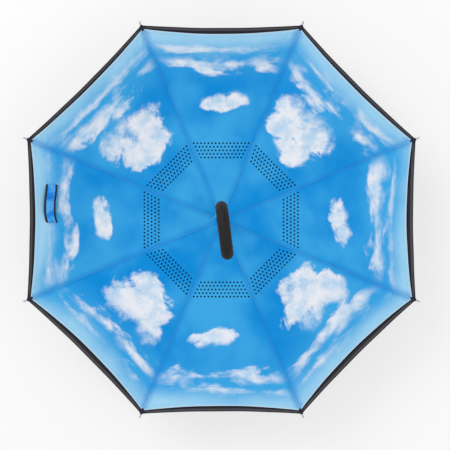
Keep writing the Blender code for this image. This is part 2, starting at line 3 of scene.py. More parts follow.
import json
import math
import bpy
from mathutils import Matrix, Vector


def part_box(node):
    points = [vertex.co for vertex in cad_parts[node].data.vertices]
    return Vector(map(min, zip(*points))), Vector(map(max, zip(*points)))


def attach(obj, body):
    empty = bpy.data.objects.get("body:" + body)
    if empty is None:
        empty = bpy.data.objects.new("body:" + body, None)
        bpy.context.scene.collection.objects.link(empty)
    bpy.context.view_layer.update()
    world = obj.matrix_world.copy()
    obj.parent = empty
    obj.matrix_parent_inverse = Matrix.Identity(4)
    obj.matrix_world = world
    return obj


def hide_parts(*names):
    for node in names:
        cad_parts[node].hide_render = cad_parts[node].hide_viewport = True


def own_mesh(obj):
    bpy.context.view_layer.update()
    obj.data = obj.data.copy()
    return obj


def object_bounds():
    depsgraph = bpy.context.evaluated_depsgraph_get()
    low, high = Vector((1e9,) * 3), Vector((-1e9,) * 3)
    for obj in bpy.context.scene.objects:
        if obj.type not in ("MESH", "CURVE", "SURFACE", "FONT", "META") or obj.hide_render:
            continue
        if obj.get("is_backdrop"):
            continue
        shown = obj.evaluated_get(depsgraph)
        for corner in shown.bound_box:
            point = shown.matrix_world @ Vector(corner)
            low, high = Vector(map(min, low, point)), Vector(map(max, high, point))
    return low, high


bl_info = {
    "name": "Inverted umbrella",
    "version": (1, 0, 0),
    "blender": (4, 5, 0),
    "location": "View3D > Sidebar > Umbrella",
    "description": "Dresses the frame of a double-layer inverted umbrella",
    "category": "Object",
}

import bmesh
import bpy
import numpy as np
from bpy.props import FloatProperty, FloatVectorProperty, IntProperty, PointerProperty
from mathutils import Matrix, Vector
from mathutils.geometry import delaunay_2d_cdt

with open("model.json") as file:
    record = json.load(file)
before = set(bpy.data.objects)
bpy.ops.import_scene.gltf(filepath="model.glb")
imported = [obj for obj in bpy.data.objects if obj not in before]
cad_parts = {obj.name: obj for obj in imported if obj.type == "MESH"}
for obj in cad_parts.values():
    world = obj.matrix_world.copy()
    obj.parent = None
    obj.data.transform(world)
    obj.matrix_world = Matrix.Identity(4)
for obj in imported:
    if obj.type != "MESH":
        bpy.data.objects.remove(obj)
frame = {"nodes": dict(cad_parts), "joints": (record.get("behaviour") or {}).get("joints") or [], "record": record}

# The frame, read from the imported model
CAD_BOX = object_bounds()
JOINTS = {joint["name"]: joint for joint in frame["joints"]}
SPOKES = sum(name.startswith("rod_flex_") for name in JOINTS)
JOINT_PLACE = Vector(JOINTS["rod_flex_1"]["pos_m"])
JOINT_REACH = math.hypot(JOINT_PLACE.x, JOINT_PLACE.y)
FIRST_SPOKE = math.atan2(JOINT_PLACE.y, JOINT_PLACE.x)

# A gore lies between two spokes: its angle, and the tangent, sine and cosine of half of it
STEP_ANGLE = 2 * math.pi / SPOKES
HALF_GORE = math.tan(STEP_ANGLE / 2)
HALF_GORE_SINE = math.sin(STEP_ANGLE / 2)
APOTHEM = math.cos(STEP_ANGLE / 2)

# The photograph's frame in pixels, its pixels to a metre at the rim, and places read from it
PHOTO_SIZE = 450
PHOTO_SCALE = 400.0
RIM_MIDDLE_PX = (221.45, 219.6)
CAMERA_OVER_PX = (216.6, 225.0)
TIE_PX = 141
BLACK_AT_CORNER_PX = 2.4
BLACK_SHOWN_PX = (3.7, 4.8, 3.5, 4.4, 5.3, 4.3, 5.4, 5.3)


def metres(pixels):
    """A length in the rim's plane from pixels of the photograph."""
    return pixels / PHOTO_SCALE


def linear(*display):
    """A display colour in 0 to 255 as a linear colour."""
    shares = [value / 255 for value in display]
    return tuple(s / 12.92 if s <= 0.04045 else ((s + 0.055) / 1.055) ** 2.4 for s in shares)


# Settings


def length(label, text, value):
    """A size that a user can change, in metres."""
    return FloatProperty(name=label, description=text, default=value, unit="LENGTH")


def tint(label, text, *display):
    """A colour that a user can change, from a display colour."""
    return FloatVectorProperty(name=label, description=text, default=linear(*display), subtype="COLOR")


class ClothSettings(bpy.types.PropertyGroup):
    """Sizes of the two cloths."""

    grid: length("Grid", "Spacing of the cloth's mesh", 0.010)
    thickness: length("Thickness", "Thickness of the cloth", 0.0005)
    vent_radius: length("Vent radius", "Radius of one vent hole", 0.0024)
    vent_pitch: length("Vent pitch", "Spacing of the vents in a row", 0.0097)
    vent_row_pitch: length("Row pitch", "Spacing of the rows of vents", 0.0094)
    vent_first_row: length("First row", "Reach of the innermost row", 0.1655)
    vent_rows: IntProperty(name="Vent rows", description="Rows of vents in a gore", default=5)
    vent_first_count: IntProperty(name="First count", description="Vents in the innermost row",
                                  default=12)


class ColourSettings(bpy.types.PropertyGroup):
    """Colours of the cloths, the handle and the floor."""

    sky_deep: tint("Deep sky", "Blue of the inner sky", 0, 139, 216)
    sky_mid: tint("Middle sky", "Blue of the middle sky", 58, 167, 227)
    sky_pale: tint("Pale sky", "Blue near the horizon", 160, 212, 240)
    cloud: tint("Cloud", "White of the clouds", 237, 238, 243)
    cloud_shade: tint("Cloud shade", "Shaded side of the clouds", 186, 215, 237)
    black_cloth: tint("Black cloth", "The outer cloth", 40, 40, 46)
    handle: tint("Handle", "The rubbery handle", 24, 23, 25)
    floor: tint("Floor", "The pale floor", 247, 247, 247)


class GripSettings(bpy.types.PropertyGroup):
    """Sizes of the C grip, the same as the solid's."""

    height: length("Height", "Height of the C", 0.120)
    width: length("Width", "Width of the C", 0.120)
    back: length("Back", "From the shaft's axis to the C's back", 0.0335)
    radius: length("Radius", "Radius of the grip", 0.012)
    neck_radius: length("Neck radius", "Radius of the neck", 0.0095)
    yaw: FloatProperty(name="Yaw", description="Direction of the C's mouth",
                       default=math.radians(-83), subtype="ANGLE")
    squareness: FloatProperty(name="Squareness", description="Exponent of the C's rounded square",
                              default=3.0)
    mouth: FloatProperty(name="Mouth", description="Share of the height that the mouth leaves open",
                         default=0.68)


class StrapSettings(bpy.types.PropertyGroup):
    """Sizes of the closing strap."""

    length: length("Length", "Length of the strap", 0.096)
    width: length("Width", "Width of the strap", 0.026)
    arch: length("Arch", "How far its middle stands off the cloth", 0.006)
    bow: length("Bow", "How far its middle bows outward", 0.0065)
    thickness: length("Thickness", "Thickness of the folded band", 0.0012)
    binding: length("Binding", "Width of the edge binding", 0.0042)


def settings(name):
    """One of the groups of settings, by its short name."""
    return getattr(bpy.context.scene, f"umbrella_{name}")


# Materials

# Sewing, in metres from the spoke or from the hem: where each fold, thread, painted highlight and painted shade
# lies
FOLD_EDGE = (0.0004, 0.0013)
FLAT_EDGE = (0.0042, 0.0052)
HEM_EDGE = (0.0072, 0.0082)
PIPING_EDGE = (0.0014, 0.0024)
SEAM_THREAD = ((0.0030, 0.0034), (0.0036, 0.0040))
HEM_THREAD = ((0.0060, 0.0064), (0.0066, 0.0070))
# The next two spans hold painted shade beside each seam: a wide band and a narrow groove
SEAM_VALLEY_SHADE = ((0.0010, 0.0035), (0.0035, 0.018))
SEAM_GROOVE_SHADE = ((0.0008, 0.0014), (0.0020, 0.0032))
# Painted highlight along the black cloth's rolled hem
HEM_HIGHLIGHT_SPAN = ((0.0012, 0.0034), (0.0052, 0.0074))
STITCH_PITCH = 0.0032
STITCH_GAP = -0.2
WEAVE_PITCH = 0.0007
TAPE_RIB_PITCH = 0.0009
# In metres from the grip's middle plane, and from the shaft's axis to where the rosette's painted shade ends
PARTING_EDGE = (0.00012, 0.00034)
SHADE_IN_GATHERS_SPAN = (0.0110, 0.0175)
# How deep each finish's relief is, in metres
CLOTH_RELIEF = 0.0006
ROSETTE_RELIEF = 0.0004
TAPE_RELIEF = 0.0003
RUBBER_RELIEF = 0.0003
PLASTIC_RELIEF = 0.0002
STEEL_RELIEF = 0.0001
GLASS_RELIEF = 0.0001

# The print, in metres from the hem: where the pale horizon and the haze above it end
HORIZON_EDGE = (-0.004, 0.050)
HAZE_EDGE = (0.030, 0.120)
# Clouds of one gore: middle across and outward, half width and half height, in metres
BIG_CLOUD = (((-0.022, 0.322), 0.074, 0.052), ((0.038, 0.298), 0.060, 0.062),
             ((-0.010, 0.260), 0.062, 0.038), ((0.070, 0.338), 0.038, 0.042))
SMALL_CLOUD = (((0.014, 0.306), 0.052, 0.025), ((-0.032, 0.317), 0.040, 0.022))
CLOUD_FOOT = 0.02
CLOUD_HEAD = 0.07
# Bands of wisps: distance to the hem and half width in metres, stretch, limits and strength
WISPS = ((0.068, 0.032, 2.4, 0.22, 1.05, 0.95), (0.034, 0.024, 3.4, 0.36, 1.25, 0.75))
WISP_ASIDE = (-0.01, 0.05)

# Shades that are laid over the main colours, some of them painted highlights and painted shade
# Painted highlight on each seam's fold
SEAM_PAINTED_HIGHLIGHT = linear(118, 190, 240)
# Painted shade in each seam's groove
SEAM_PAINTED_SHADE = linear(6, 88, 184)
PIPING = linear(196, 216, 234)
BLUE_THREAD = linear(24, 110, 190)
BLACK_WORN = linear(56, 56, 63)
# Painted highlight on the black cloth's rolled hem
PAINTED_HEM_HIGHLIGHT = linear(92, 93, 98)
BLACK_SEAM = linear(14, 14, 18)
RUBBER_WORN = linear(36, 34, 37)
RUBBER_PARTING = linear(14, 13, 15)
STEEL_BRIGHT = linear(196, 198, 202)
STEEL_DULL = linear(164, 166, 170)
GLASS_DARK = linear(48, 48, 51)
GLASS_STREAK = linear(92, 92, 95)
STRAP_DEEP = linear(24, 134, 226)
STRAP_LIGHT = linear(84, 174, 240)
# Painted shade in the strap's creases
STRAP_CREASE_SHADE = linear(8, 100, 200)
TAPE_DARK = linear(36, 38, 48)
TAPE_WORN = linear(58, 62, 78)
# Painted shade in the rosette's gathers
ROSETTE_PAINTED_SHADE = linear(4, 84, 168)
# Moulded plastics: main shade, paler shade and least roughness
PLASTICS = {
    "black_plastic": (linear(34, 33, 35), linear(46, 45, 48), 0.36),
    "grey_plastic": (linear(112, 112, 116), linear(132, 132, 136), 0.34),
}


def maths(operation, reflected=False):
    """A method of Socket that adds a Math node, for one operator."""
    def method(self, *others):
        values = (*others, self) if reflected else (self, *others)
        return self.board.calc(operation, *values)
    return method


class Socket:
    """A node's output that adds Math nodes when it is used in an expression."""

    def __init__(self, board, output):
        self.board = board
        self.output = output

    __add__ = maths("ADD")
    __radd__ = maths("ADD", reflected=True)
    __sub__ = maths("SUBTRACT")
    __rsub__ = maths("SUBTRACT", reflected=True)
    __mul__ = maths("MULTIPLY")
    __rmul__ = maths("MULTIPLY", reflected=True)
    __truediv__ = maths("DIVIDE")
    __abs__ = maths("ABSOLUTE")
    __gt__ = maths("GREATER_THAN")


class Board:
    """The node tree of one material."""

    def __init__(self, name):
        self.material = bpy.data.materials.new(name)
        self.material.use_nodes = True
        self.tree = self.material.node_tree
        self.shader = self.tree.nodes["Principled BSDF"]

    def node(self, kind, setup=None, inputs=None, output=0):
        """Adds a node, sets it up, fills its sockets and gives one output."""
        made = self.tree.nodes.new(kind)
        for name, value in (setup or {}).items():
            setattr(made, name, value)
        pairs = inputs.items() if isinstance(inputs, dict) else enumerate(inputs or [])
        for key, value in pairs:
            self._fill(made.inputs[key], value)
        return Socket(self, made.outputs[output])

    def _fill(self, socket, value):
        if isinstance(value, Socket):
            self.tree.links.new(value.output, socket)
        elif socket.type == "RGBA" and len(value) == 3:
            socket.default_value = (*value, 1)
        else:
            socket.default_value = value

    def calc(self, operation, *values):
        """A Math node's result."""
        return self.node("ShaderNodeMath", {"operation": operation}, values)

    def mix(self, share, first, second):
        """A colour between two colours."""
        return self.node("ShaderNodeMix", {"data_type": "RGBA"}, {0: share, 6: first, 7: second}, 2)

    def layered(self, colour, *layers):
        """A colour with others laid over it in turn, each by its share."""
        for share, layer in layers:
            colour = self.mix(share, colour, layer)
        return colour

    def split(self, vector):
        """The three numbers of a vector."""
        made = self.node("ShaderNodeSeparateXYZ", None, [vector]).output.node
        return [Socket(self, output) for output in made.outputs]

    def joined(self, x, y, z=0.0):
        """A vector of three numbers."""
        return self.node("ShaderNodeCombineXYZ", None, [x, y, z])

    def uv(self, name):
        """The two numbers of a UV map."""
        return self.split(self.node("ShaderNodeUVMap", {"uv_map": name}))[:2]

    def place(self):
        """Where a point lies, in the frame."""
        return self.node("ShaderNodeTexCoord", output="Object")

    def from_axis(self, x, y):
        """How far a point is from the shaft's axis."""
        setup = {"operation": "LENGTH"}
        return self.node("ShaderNodeVectorMath", setup, [self.joined(x, y)], output=1)

    def noise(self, vector, scale, detail=2.0, roughness=0.5, distortion=0.0):
        """Noise from 0 to 1."""
        inputs = {"Vector": vector, "Scale": scale, "Detail": detail, "Roughness": roughness,
                  "Distortion": distortion}
        return self.node("ShaderNodeTexNoise", None, inputs)

    def smooth(self, value, low, high):
        """0 below low, 1 above high, smooth between."""
        inputs = {0: value, 1: low, 2: high}
        return self.node("ShaderNodeMapRange", {"interpolation_type": "SMOOTHSTEP"}, inputs)

    def between(self, value, rise, fall):
        """A mask that rises over one span of a value and falls over another."""
        return self.smooth(value, *rise) * (1 - self.smooth(value, *fall))

    def weave(self, across, along):
        """The over and under of a plain weave, from 0 to 1."""
        turns = 2 * math.pi / WEAVE_PITCH
        return self.calc("SINE", across * turns) * self.calc("SINE", along * turns) * 0.5 + 0.5

    def bump(self, height, depth, strength):
        """A normal from a height."""
        inputs = {"Strength": strength, "Distance": depth, "Height": height}
        return self.node("ShaderNodeBump", None, inputs)

    def set(self, **values):
        """Fills the shader's sockets, named with _ for a space, and gives the material."""
        for name, value in values.items():
            self._fill(self.shader.inputs[name.replace("_", " ")], value)
        return self.material


class ClothBoard(Board):
    """A cloth's material: the place in its gore, and masks of its seams, hem and stitches."""

    def __init__(self, name):
        super().__init__(name)
        self.across, self.along = self.uv("cloth")
        self.gore, self.edge = self.uv("place")
        self.to_seam = self.along * HALF_GORE - abs(self.across)
        self.fold = 1 - self.smooth(self.to_seam, *FOLD_EDGE)
        self.flat = 1 - self.smooth(self.to_seam, *FLAT_EDGE)
        self.hem = 1 - self.smooth(self.edge, *HEM_EDGE)
        threads = self.calc("MAXIMUM", self.between(self.to_seam, *SEAM_THREAD),
                            self.between(self.edge, *HEM_THREAD))
        dash = self.calc("SINE", (self.along + self.across) * (2 * math.pi / STITCH_PITCH))
        self.stitch = threads * (dash > STITCH_GAP)

    def drape(self, flat_share, crease_share, strength):
        """The normal of woven cloth with flat seams and faint creases."""
        sewn = self.flat * flat_share + self.hem * 0.5 - self.stitch * 0.35
        creases = self.noise(self.joined(self.across, self.along * 0.35 + self.gore), 26.0, 3.0)
        height = self.weave(self.across, self.along) * 0.06 + sewn + creases * crease_share
        return self.bump(height, CLOTH_RELIEF, strength)


def sky_material():
    """Printed pongee: sky that pales towards the hem, with drifting clouds, and painted shade and a painted
    highlight along its seams.
    """
    colours = settings("colours")
    board = ClothBoard("sky_print")
    across, along, gore, edge = board.across, board.along, board.gore, board.edge
    shifted = board.joined(across + gore * 0.73, along - gore * 1.31)
    drift = board.noise(shifted, 5.0, 3.0)
    haze = 1 - board.smooth(edge + (drift - 0.5) * 0.10, *HAZE_EDGE)
    horizon = 1 - board.smooth(edge + (drift - 0.5) * 0.08, *HORIZON_EDGE)
    inside = board.joined(across + gore, along + 0.012)
    depth = board.smooth(board.noise(inside, 26.0, 5.0, 0.6), 0.32, 0.62)
    colour = board.layered(
        colours.sky_deep,
        (board.smooth(drift, 0.36, 0.62), colours.sky_mid),
        (haze * 0.8, colours.sky_mid),
        (horizon, colours.sky_pale),
        (cloud_field(board, shifted), board.mix(depth, colours.cloud_shade, colours.cloud)),
        # Painted shade beside each seam and in its groove, and a painted highlight on its fold
        (board.between(board.to_seam, *SEAM_VALLEY_SHADE) * 0.40, colours.sky_deep),
        (board.fold * 0.20, SEAM_PAINTED_HIGHLIGHT),
        (board.between(board.to_seam, *SEAM_GROOVE_SHADE) * 0.62, SEAM_PAINTED_SHADE),
        ((1 - board.smooth(edge, *PIPING_EDGE)) * 0.8, PIPING),
        (board.stitch * 0.4, BLUE_THREAD))
    return board.set(Base_Color=colour, Roughness=0.7, Normal=board.drape(0.4, 1.8, 0.7),
                     Specular_IOR_Level=0.12)


def cloud_field(board, shifted):
    """How much cloud there is, from 0 to 1: heaps in the gores and wisps near the hem."""
    across, along, gore, edge = board.across, board.along, board.gore, board.edge
    odd = board.calc("MODULO", gore, 2.0)
    shift = (board.noise(board.joined(gore * 3.7, 0.5), 1.0, 0.0) - 0.5) * 0.10
    lean = across * 0.55 + along
    combed = board.joined((across - along * 0.55) * 0.9 + gore * 0.91, lean * 1.25 - gore * 0.57)
    rough = board.noise(combed, 13.0, 9.0, 0.64, 0.35)
    fine = board.noise(shifted, 48.0, 5.0, 0.6)
    aside = board.smooth(board.to_seam, *WISP_ASIDE)

    def oval(middle, half_width, half_height):
        x = (across + shift - middle[0]) / half_width
        y = (along - middle[1]) / half_height
        return 1 - (x * x + y * y)

    def heap(parts, share):
        body = oval(*parts[0])
        for part in parts[1:]:
            body = board.calc("SMOOTH_MAX", body, oval(*part), 0.5)
        body = board.calc("MINIMUM", body, 0.8)
        thick = body * 0.72 + (rough - 0.5) * 2.5 + (fine - 0.5) * 0.22
        middle = parts[0][0][1]
        soft = 0.40 + board.smooth(along, middle - CLOUD_FOOT, middle + CLOUD_HEAD) * 0.75
        return board.smooth(thick, 0.02, soft) * share

    def wisp(middle, half, stretch, low, high, share):
        band = 1 - abs(edge - middle) / half
        place = board.joined(across + gore * 0.37, along * stretch + gore)
        streaks = board.noise(place, 9.0, 8.0, 0.6, 0.3)
        upper = board.smooth(edge, middle - half * 0.5, middle + half * 0.7)
        soft = high - upper * (high - low) * 0.55
        thick = band * 0.62 + (streaks - 0.5) * 2.7 + (fine - 0.5) * 0.2
        return board.smooth(thick, low, soft) * aside * share

    field = board.calc("MAXIMUM", heap(BIG_CLOUD, 1 - odd), heap(SMALL_CLOUD, odd))
    for values in WISPS:
        field = board.calc("MAXIMUM", field, wisp(*values))
    return field


def black_cloth_material():
    """Plain black pongee with a painted highlight along the rolled hem."""
    board = ClothBoard("black_cloth")
    shade = board.noise(board.joined(board.across + board.gore, board.along), 30.0, 3.0)
    colour = board.layered(
        settings("colours").black_cloth,
        (shade * 0.35, BLACK_WORN),
        # Painted highlight along the rolled hem
        (board.between(board.edge, *HEM_HIGHLIGHT_SPAN) * 0.6, PAINTED_HEM_HIGHLIGHT),
        (board.fold * 0.6 + board.stitch * 0.3, BLACK_SEAM))
    return board.set(Base_Color=colour, Roughness=0.7, Normal=board.drape(0.5, 1.1, 0.55),
                     Specular_IOR_Level=0.2)


def strap_material():
    """The strap's own piece of the print, folded from a darker part of the sky, with painted shade in its creases.
    """
    board = Board("strap_print")
    place = board.place()
    x, y, z = board.split(place)
    folds = board.noise(board.joined((x + y * 0.6) * 60, (y - x * 0.6) * 150, z * 20), 1.0, 4.0)
    drift = board.noise(place, 42.0, 4.0)
    colour = board.layered(
        STRAP_DEEP,
        (board.smooth(drift, 0.34, 0.62), STRAP_LIGHT),
        # Painted shade in the creases
        (board.smooth(folds, 0.50, 0.66) * 0.55, STRAP_CREASE_SHADE))
    height = board.weave(x, y) * 0.1 + folds * 2.0
    return board.set(Base_Color=colour, Roughness=0.68, Normal=board.bump(height, CLOTH_RELIEF, 0.6),
                     Specular_IOR_Level=0.15)


def binding_material():
    """Black binding tape with ribs across it."""
    board = Board("black_binding")
    place = board.place()
    x, y, _ = board.split(place)
    ribs = board.calc("SINE", (x + y) * (2 * math.pi / TAPE_RIB_PITCH))
    wear = board.noise(place, 90.0, 4.0)
    return board.set(Base_Color=board.mix(wear * 0.4, TAPE_DARK, TAPE_WORN), Roughness=0.75,
                     Normal=board.bump(ribs * 0.3 + wear, TAPE_RELIEF, 0.6), Specular_IOR_Level=0.15)


def rosette_material():
    """The plain blue of the inner sky, with shade painted darker in its gathers near the shaft."""
    colours = settings("colours")
    board = Board("rosette_print")
    place = board.place()
    x, y, _ = board.split(place)
    drift = board.noise(place, 40.0, 3.0)
    # Painted shade in the gathers, darkest near the shaft
    gather = 1 - board.smooth(board.from_axis(x, y), *SHADE_IN_GATHERS_SPAN)
    colour = board.layered(
        colours.sky_deep,
        (board.smooth(drift, 0.4, 0.66), colours.sky_mid),
        (gather * 0.5, ROSETTE_PAINTED_SHADE))
    return board.set(Base_Color=colour, Roughness=0.7, Specular_IOR_Level=0.12,
                     Normal=board.bump(board.weave(x, y) * 0.1 + drift, ROSETTE_RELIEF, 0.5))


def rubber_material(yaw):
    """Soft matte rubber with a fine grain, and a parting line in the grip's middle plane."""
    board = Board("grip_rubber")
    place = board.place()
    x, y, _ = board.split(place)
    side = x * -math.sin(yaw) + y * math.cos(yaw)
    parting = 1 - board.smooth(abs(side), *PARTING_EDGE)
    grain = board.noise(place, 900.0, 3.0)
    smears = board.noise(place, 38.0, 4.0)
    colour = board.layered(settings("colours").handle, (smears * 0.35, RUBBER_WORN),
                           (parting * 0.5, RUBBER_PARTING))
    return board.set(Base_Color=colour, Roughness=smears * 0.16 + 0.52,
                     Normal=board.bump(grain * 0.5 - parting * 1.4, RUBBER_RELIEF, 0.6),
                     Specular_IOR_Level=0.25)


def plated_material():
    """Plated steel with faint draw marks and dull spots."""
    board = Board("plated_steel_finish")
    place = board.place()
    x, y, z = board.split(place)
    marks = board.noise(board.joined(x * 300, y * 300, z * 8), 1.0, 3.0)
    spots = board.noise(place, 60.0, 4.0)
    return board.set(Base_Color=board.mix(spots * 0.5, STEEL_BRIGHT, STEEL_DULL), Metallic=1.0,
                     Roughness=marks * 0.16 + spots * 0.10 + 0.18,
                     Normal=board.bump(marks, STEEL_RELIEF, 0.4))


def fibreglass_material():
    """Dark pultruded fibreglass with fine glass streaks along the rod."""
    board = Board("fibreglass_finish")
    x, y, z = board.split(board.place())
    along = board.joined(board.from_axis(x, y) * 9, z * 500, (x + y) * 3)
    streaks = board.noise(along, 1.0, 4.0, 0.7)
    colour = board.mix(board.smooth(streaks, 0.35, 0.75), GLASS_DARK, GLASS_STREAK)
    return board.set(Base_Color=colour, Roughness=0.34, Coat_Weight=0.3,
                     Normal=board.bump(streaks, GLASS_RELIEF, 0.4))


def plastic_material(slot):
    """Moulded plastic with a fine spark texture."""
    colour, paler, roughness = PLASTICS[slot]
    board = Board(f"{slot}_finish")
    place = board.place()
    grain = board.noise(place, 1300.0, 2.0)
    smears = board.noise(place, 70.0, 4.0)
    return board.set(Base_Color=board.mix(smears * 0.4, colour, paler),
                     Roughness=smears * 0.14 + roughness,
                     Normal=board.bump(grain, PLASTIC_RELIEF, 0.35), Specular_IOR_Level=0.45)


# Steps that the pieces share

SMOOTH_ANGLE = math.radians(40)
MERGE_DISTANCE = 0.00002


def smooth_share(value):
    """0 below 0, 1 above 1, smooth between."""
    value = np.clip(value, 0, 1)
    return value * value * (3 - 2 * value)


def signed_power(value, power):
    """A power that keeps the value's sign."""
    return math.copysign(abs(value) ** power, value)


def select_only(piece):
    """Selects one object and makes it active."""
    for other in list(bpy.context.selected_objects):
        other.select_set(False)
    piece.select_set(True)
    bpy.context.view_layer.objects.active = piece


def apply_modifiers(piece):
    """Applies a piece's modifiers in order."""
    select_only(piece)
    for modifier in list(piece.modifiers):
        bpy.ops.object.modifier_apply(modifier=modifier.name)


def linked_object(name, mesh):
    """An object of a mesh, in the scene."""
    piece = bpy.data.objects.new(name, mesh)
    bpy.context.collection.objects.link(piece)
    return piece


def add_wall(piece, thickness):
    """Gives a sheet its thickness, half on each side."""
    wall = piece.modifiers.new("Thickness", "SOLIDIFY")
    wall.thickness = thickness
    wall.offset = 0


def grid_faces(rows, columns):
    """Quads over rows of numbered points."""
    return [(r * columns + c, r * columns + c + 1, (r + 1) * columns + c + 1, (r + 1) * columns + c)
            for r in range(rows - 1) for c in range(columns - 1)]


def grid_object(name, rows, thickness):
    """A quad sheet from rows of points, that faces up and is to get a thickness."""
    mesh = bpy.data.meshes.new(name)
    points = [tuple(point) for row in rows for point in row]
    mesh.from_pydata(points, [], grid_faces(len(rows), len(rows[0])))
    mesh.shade_smooth()
    if sum(face.normal.z for face in mesh.polygons) < 0:
        mesh.flip_normals()
    piece = linked_object(name, mesh)
    add_wall(piece, thickness)
    return piece


def fit(piece, body, material):
    """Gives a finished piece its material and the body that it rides."""
    if not piece.data.polygons:
        raise RuntimeError(f"{piece.name} has no faces")
    piece.data.materials.append(material)
    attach(piece, body)


def fold_up(piece):
    """Gives a piece its own copy of its mesh."""
    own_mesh(piece)


# Cloth

# The mesh: samples of a spoke's line, the sides of a vent, clearances and tolerances
ON_SPOKE = 0.0001
LINE_SAMPLES = 600
VENT_SIDES = 12
VENT_LINE_CLEAR_SHARE = 1.3
VENT_CLEAR_SHARE = 1.6
VENT_INSIDE_SHARE = 0.999
EDGE_CLEAR_SHARE = 0.4
SEAM_TRIES = 12
NORMAL_STEP = 0.0005
SEAM_NEAR = 0.0005
SEAM_INSIDE_SHARE = 0.99
SMALLEST_HALF = 0.001
SMALLEST_AREA = 1e-9
SMALLEST_GAP = 1e-7
FACING_SHARE = 0.5
# How soft the cloth's crease is over the joints, along a spoke and in the middle of a gore
CREASE_SOFTNESS = 0.004
GORE_SOFTNESS = 0.030
SLACK_SHARE = 1.6
# The ties that hold the cloth to the rods
TIE_REACH = metres(TIE_PX)
TIE_DEPTH = 0.0018
TIE_HALF = 0.016
# The small waves of the stretched cloth: folds that fan in from a corner, hem flutter and swell
WAVE_DEPTH = 0.0011
FAN_FOLDS = 13
FAN_REACH = 0.07
FAN_START = 0.03
FAN_OFFSET = 0.002
FLUTTER_TURNS = 47
FLUTTER_START = 0.40
FLUTTER_GROWTH = 0.08
SWELL_TURNS_OUT = 19
SWELL_TURNS_ACROSS = 23
OPEN_SHARE = 1.4
# How deep the black hem is cut, and how much of it shows at the corners
BLACK_HEM_CUT = 0.0055
BLACK_AT_CORNER = metres(BLACK_AT_CORNER_PX)
# How far an outer wedge slips under the inner one, and how deep
TUCK = 0.014
TUCK_AT_SEAM_SHARE = 0.15
TUCK_SLOPE = 0.003
TUCK_DEPTH = 0.0009
# The share of its width that folded cloth keeps, and the black cloth round the links inside it
FOLDED_SHARE = 0.165
FOLDED_INSIDE_SHARE = 0.04
# The gathers at the runner: their span along the rib, and how they lie under the print
GATHER_START = 0.0075
GATHER_END = 0.165
GATHER_DROP = 0.0009
GATHER_TURN_IN = 0.0036
GATHER_TURN_END = 0.019
GATHER_ROWS = 40
GATHER_COLUMNS = 5
GATHER_TO_HEM = 0.3
FOLDED_RADIUS = 0.0280
FOLDED_SPREAD_SHARE = 0.035


class Line:
    """A cloth's line along a spoke, read from its CAD solid, and its softer line between spokes."""

    def __init__(self, node):
        turn = Matrix.Rotation(-FIRST_SPOKE, 3, "Z")
        near = sorted({(round(p.x, 6), round(p.z, 6)) for p in
                       (turn @ v.co for v in frame["nodes"][node].data.vertices)
                       if abs(p.y) < ON_SPOKE and p.x > 0})
        pairs = [((a[0] + b[0]) / 2, (a[1] + b[1]) / 2) for a, b in zip(near[::2], near[1::2])]
        self.start = pairs[0][0]
        self.end = pairs[-1][0]
        self.reach = np.linspace(self.start, self.end, LINE_SAMPLES)
        self.step = self.reach[1] - self.reach[0]
        height = np.interp(self.reach, *zip(*pairs))
        self.tight = self._softened(height, CREASE_SOFTNESS)
        self.slack = self._softened(height, GORE_SOFTNESS)

    def _softened(self, height, width):
        """The heights averaged by a bell curve, with the line's ends carried on straight."""
        count = int(3 * width / self.step) + 1
        weights = np.exp(-0.5 * (np.arange(-count, count + 1) * self.step / width) ** 2)
        before = height[0] - (height[1] - height[0]) * np.arange(count, 0, -1)
        after = height[-1] + (height[-1] - height[-2]) * np.arange(1, count + 1)
        padded = np.concatenate([before, height, after])
        return np.convolve(padded, weights / weights.sum(), mode="valid")

    def height(self, reach, slack_share):
        """The height at a reach along the spoke, from taut (0) to slack (1)."""
        taut = np.interp(reach, self.reach, self.tight)
        loose = np.interp(reach, self.reach, self.slack)
        past = np.maximum(reach - self.end, 0) * (self.tight[-1] - self.tight[-2]) / self.step
        return taut + (loose - taut) * slack_share + past


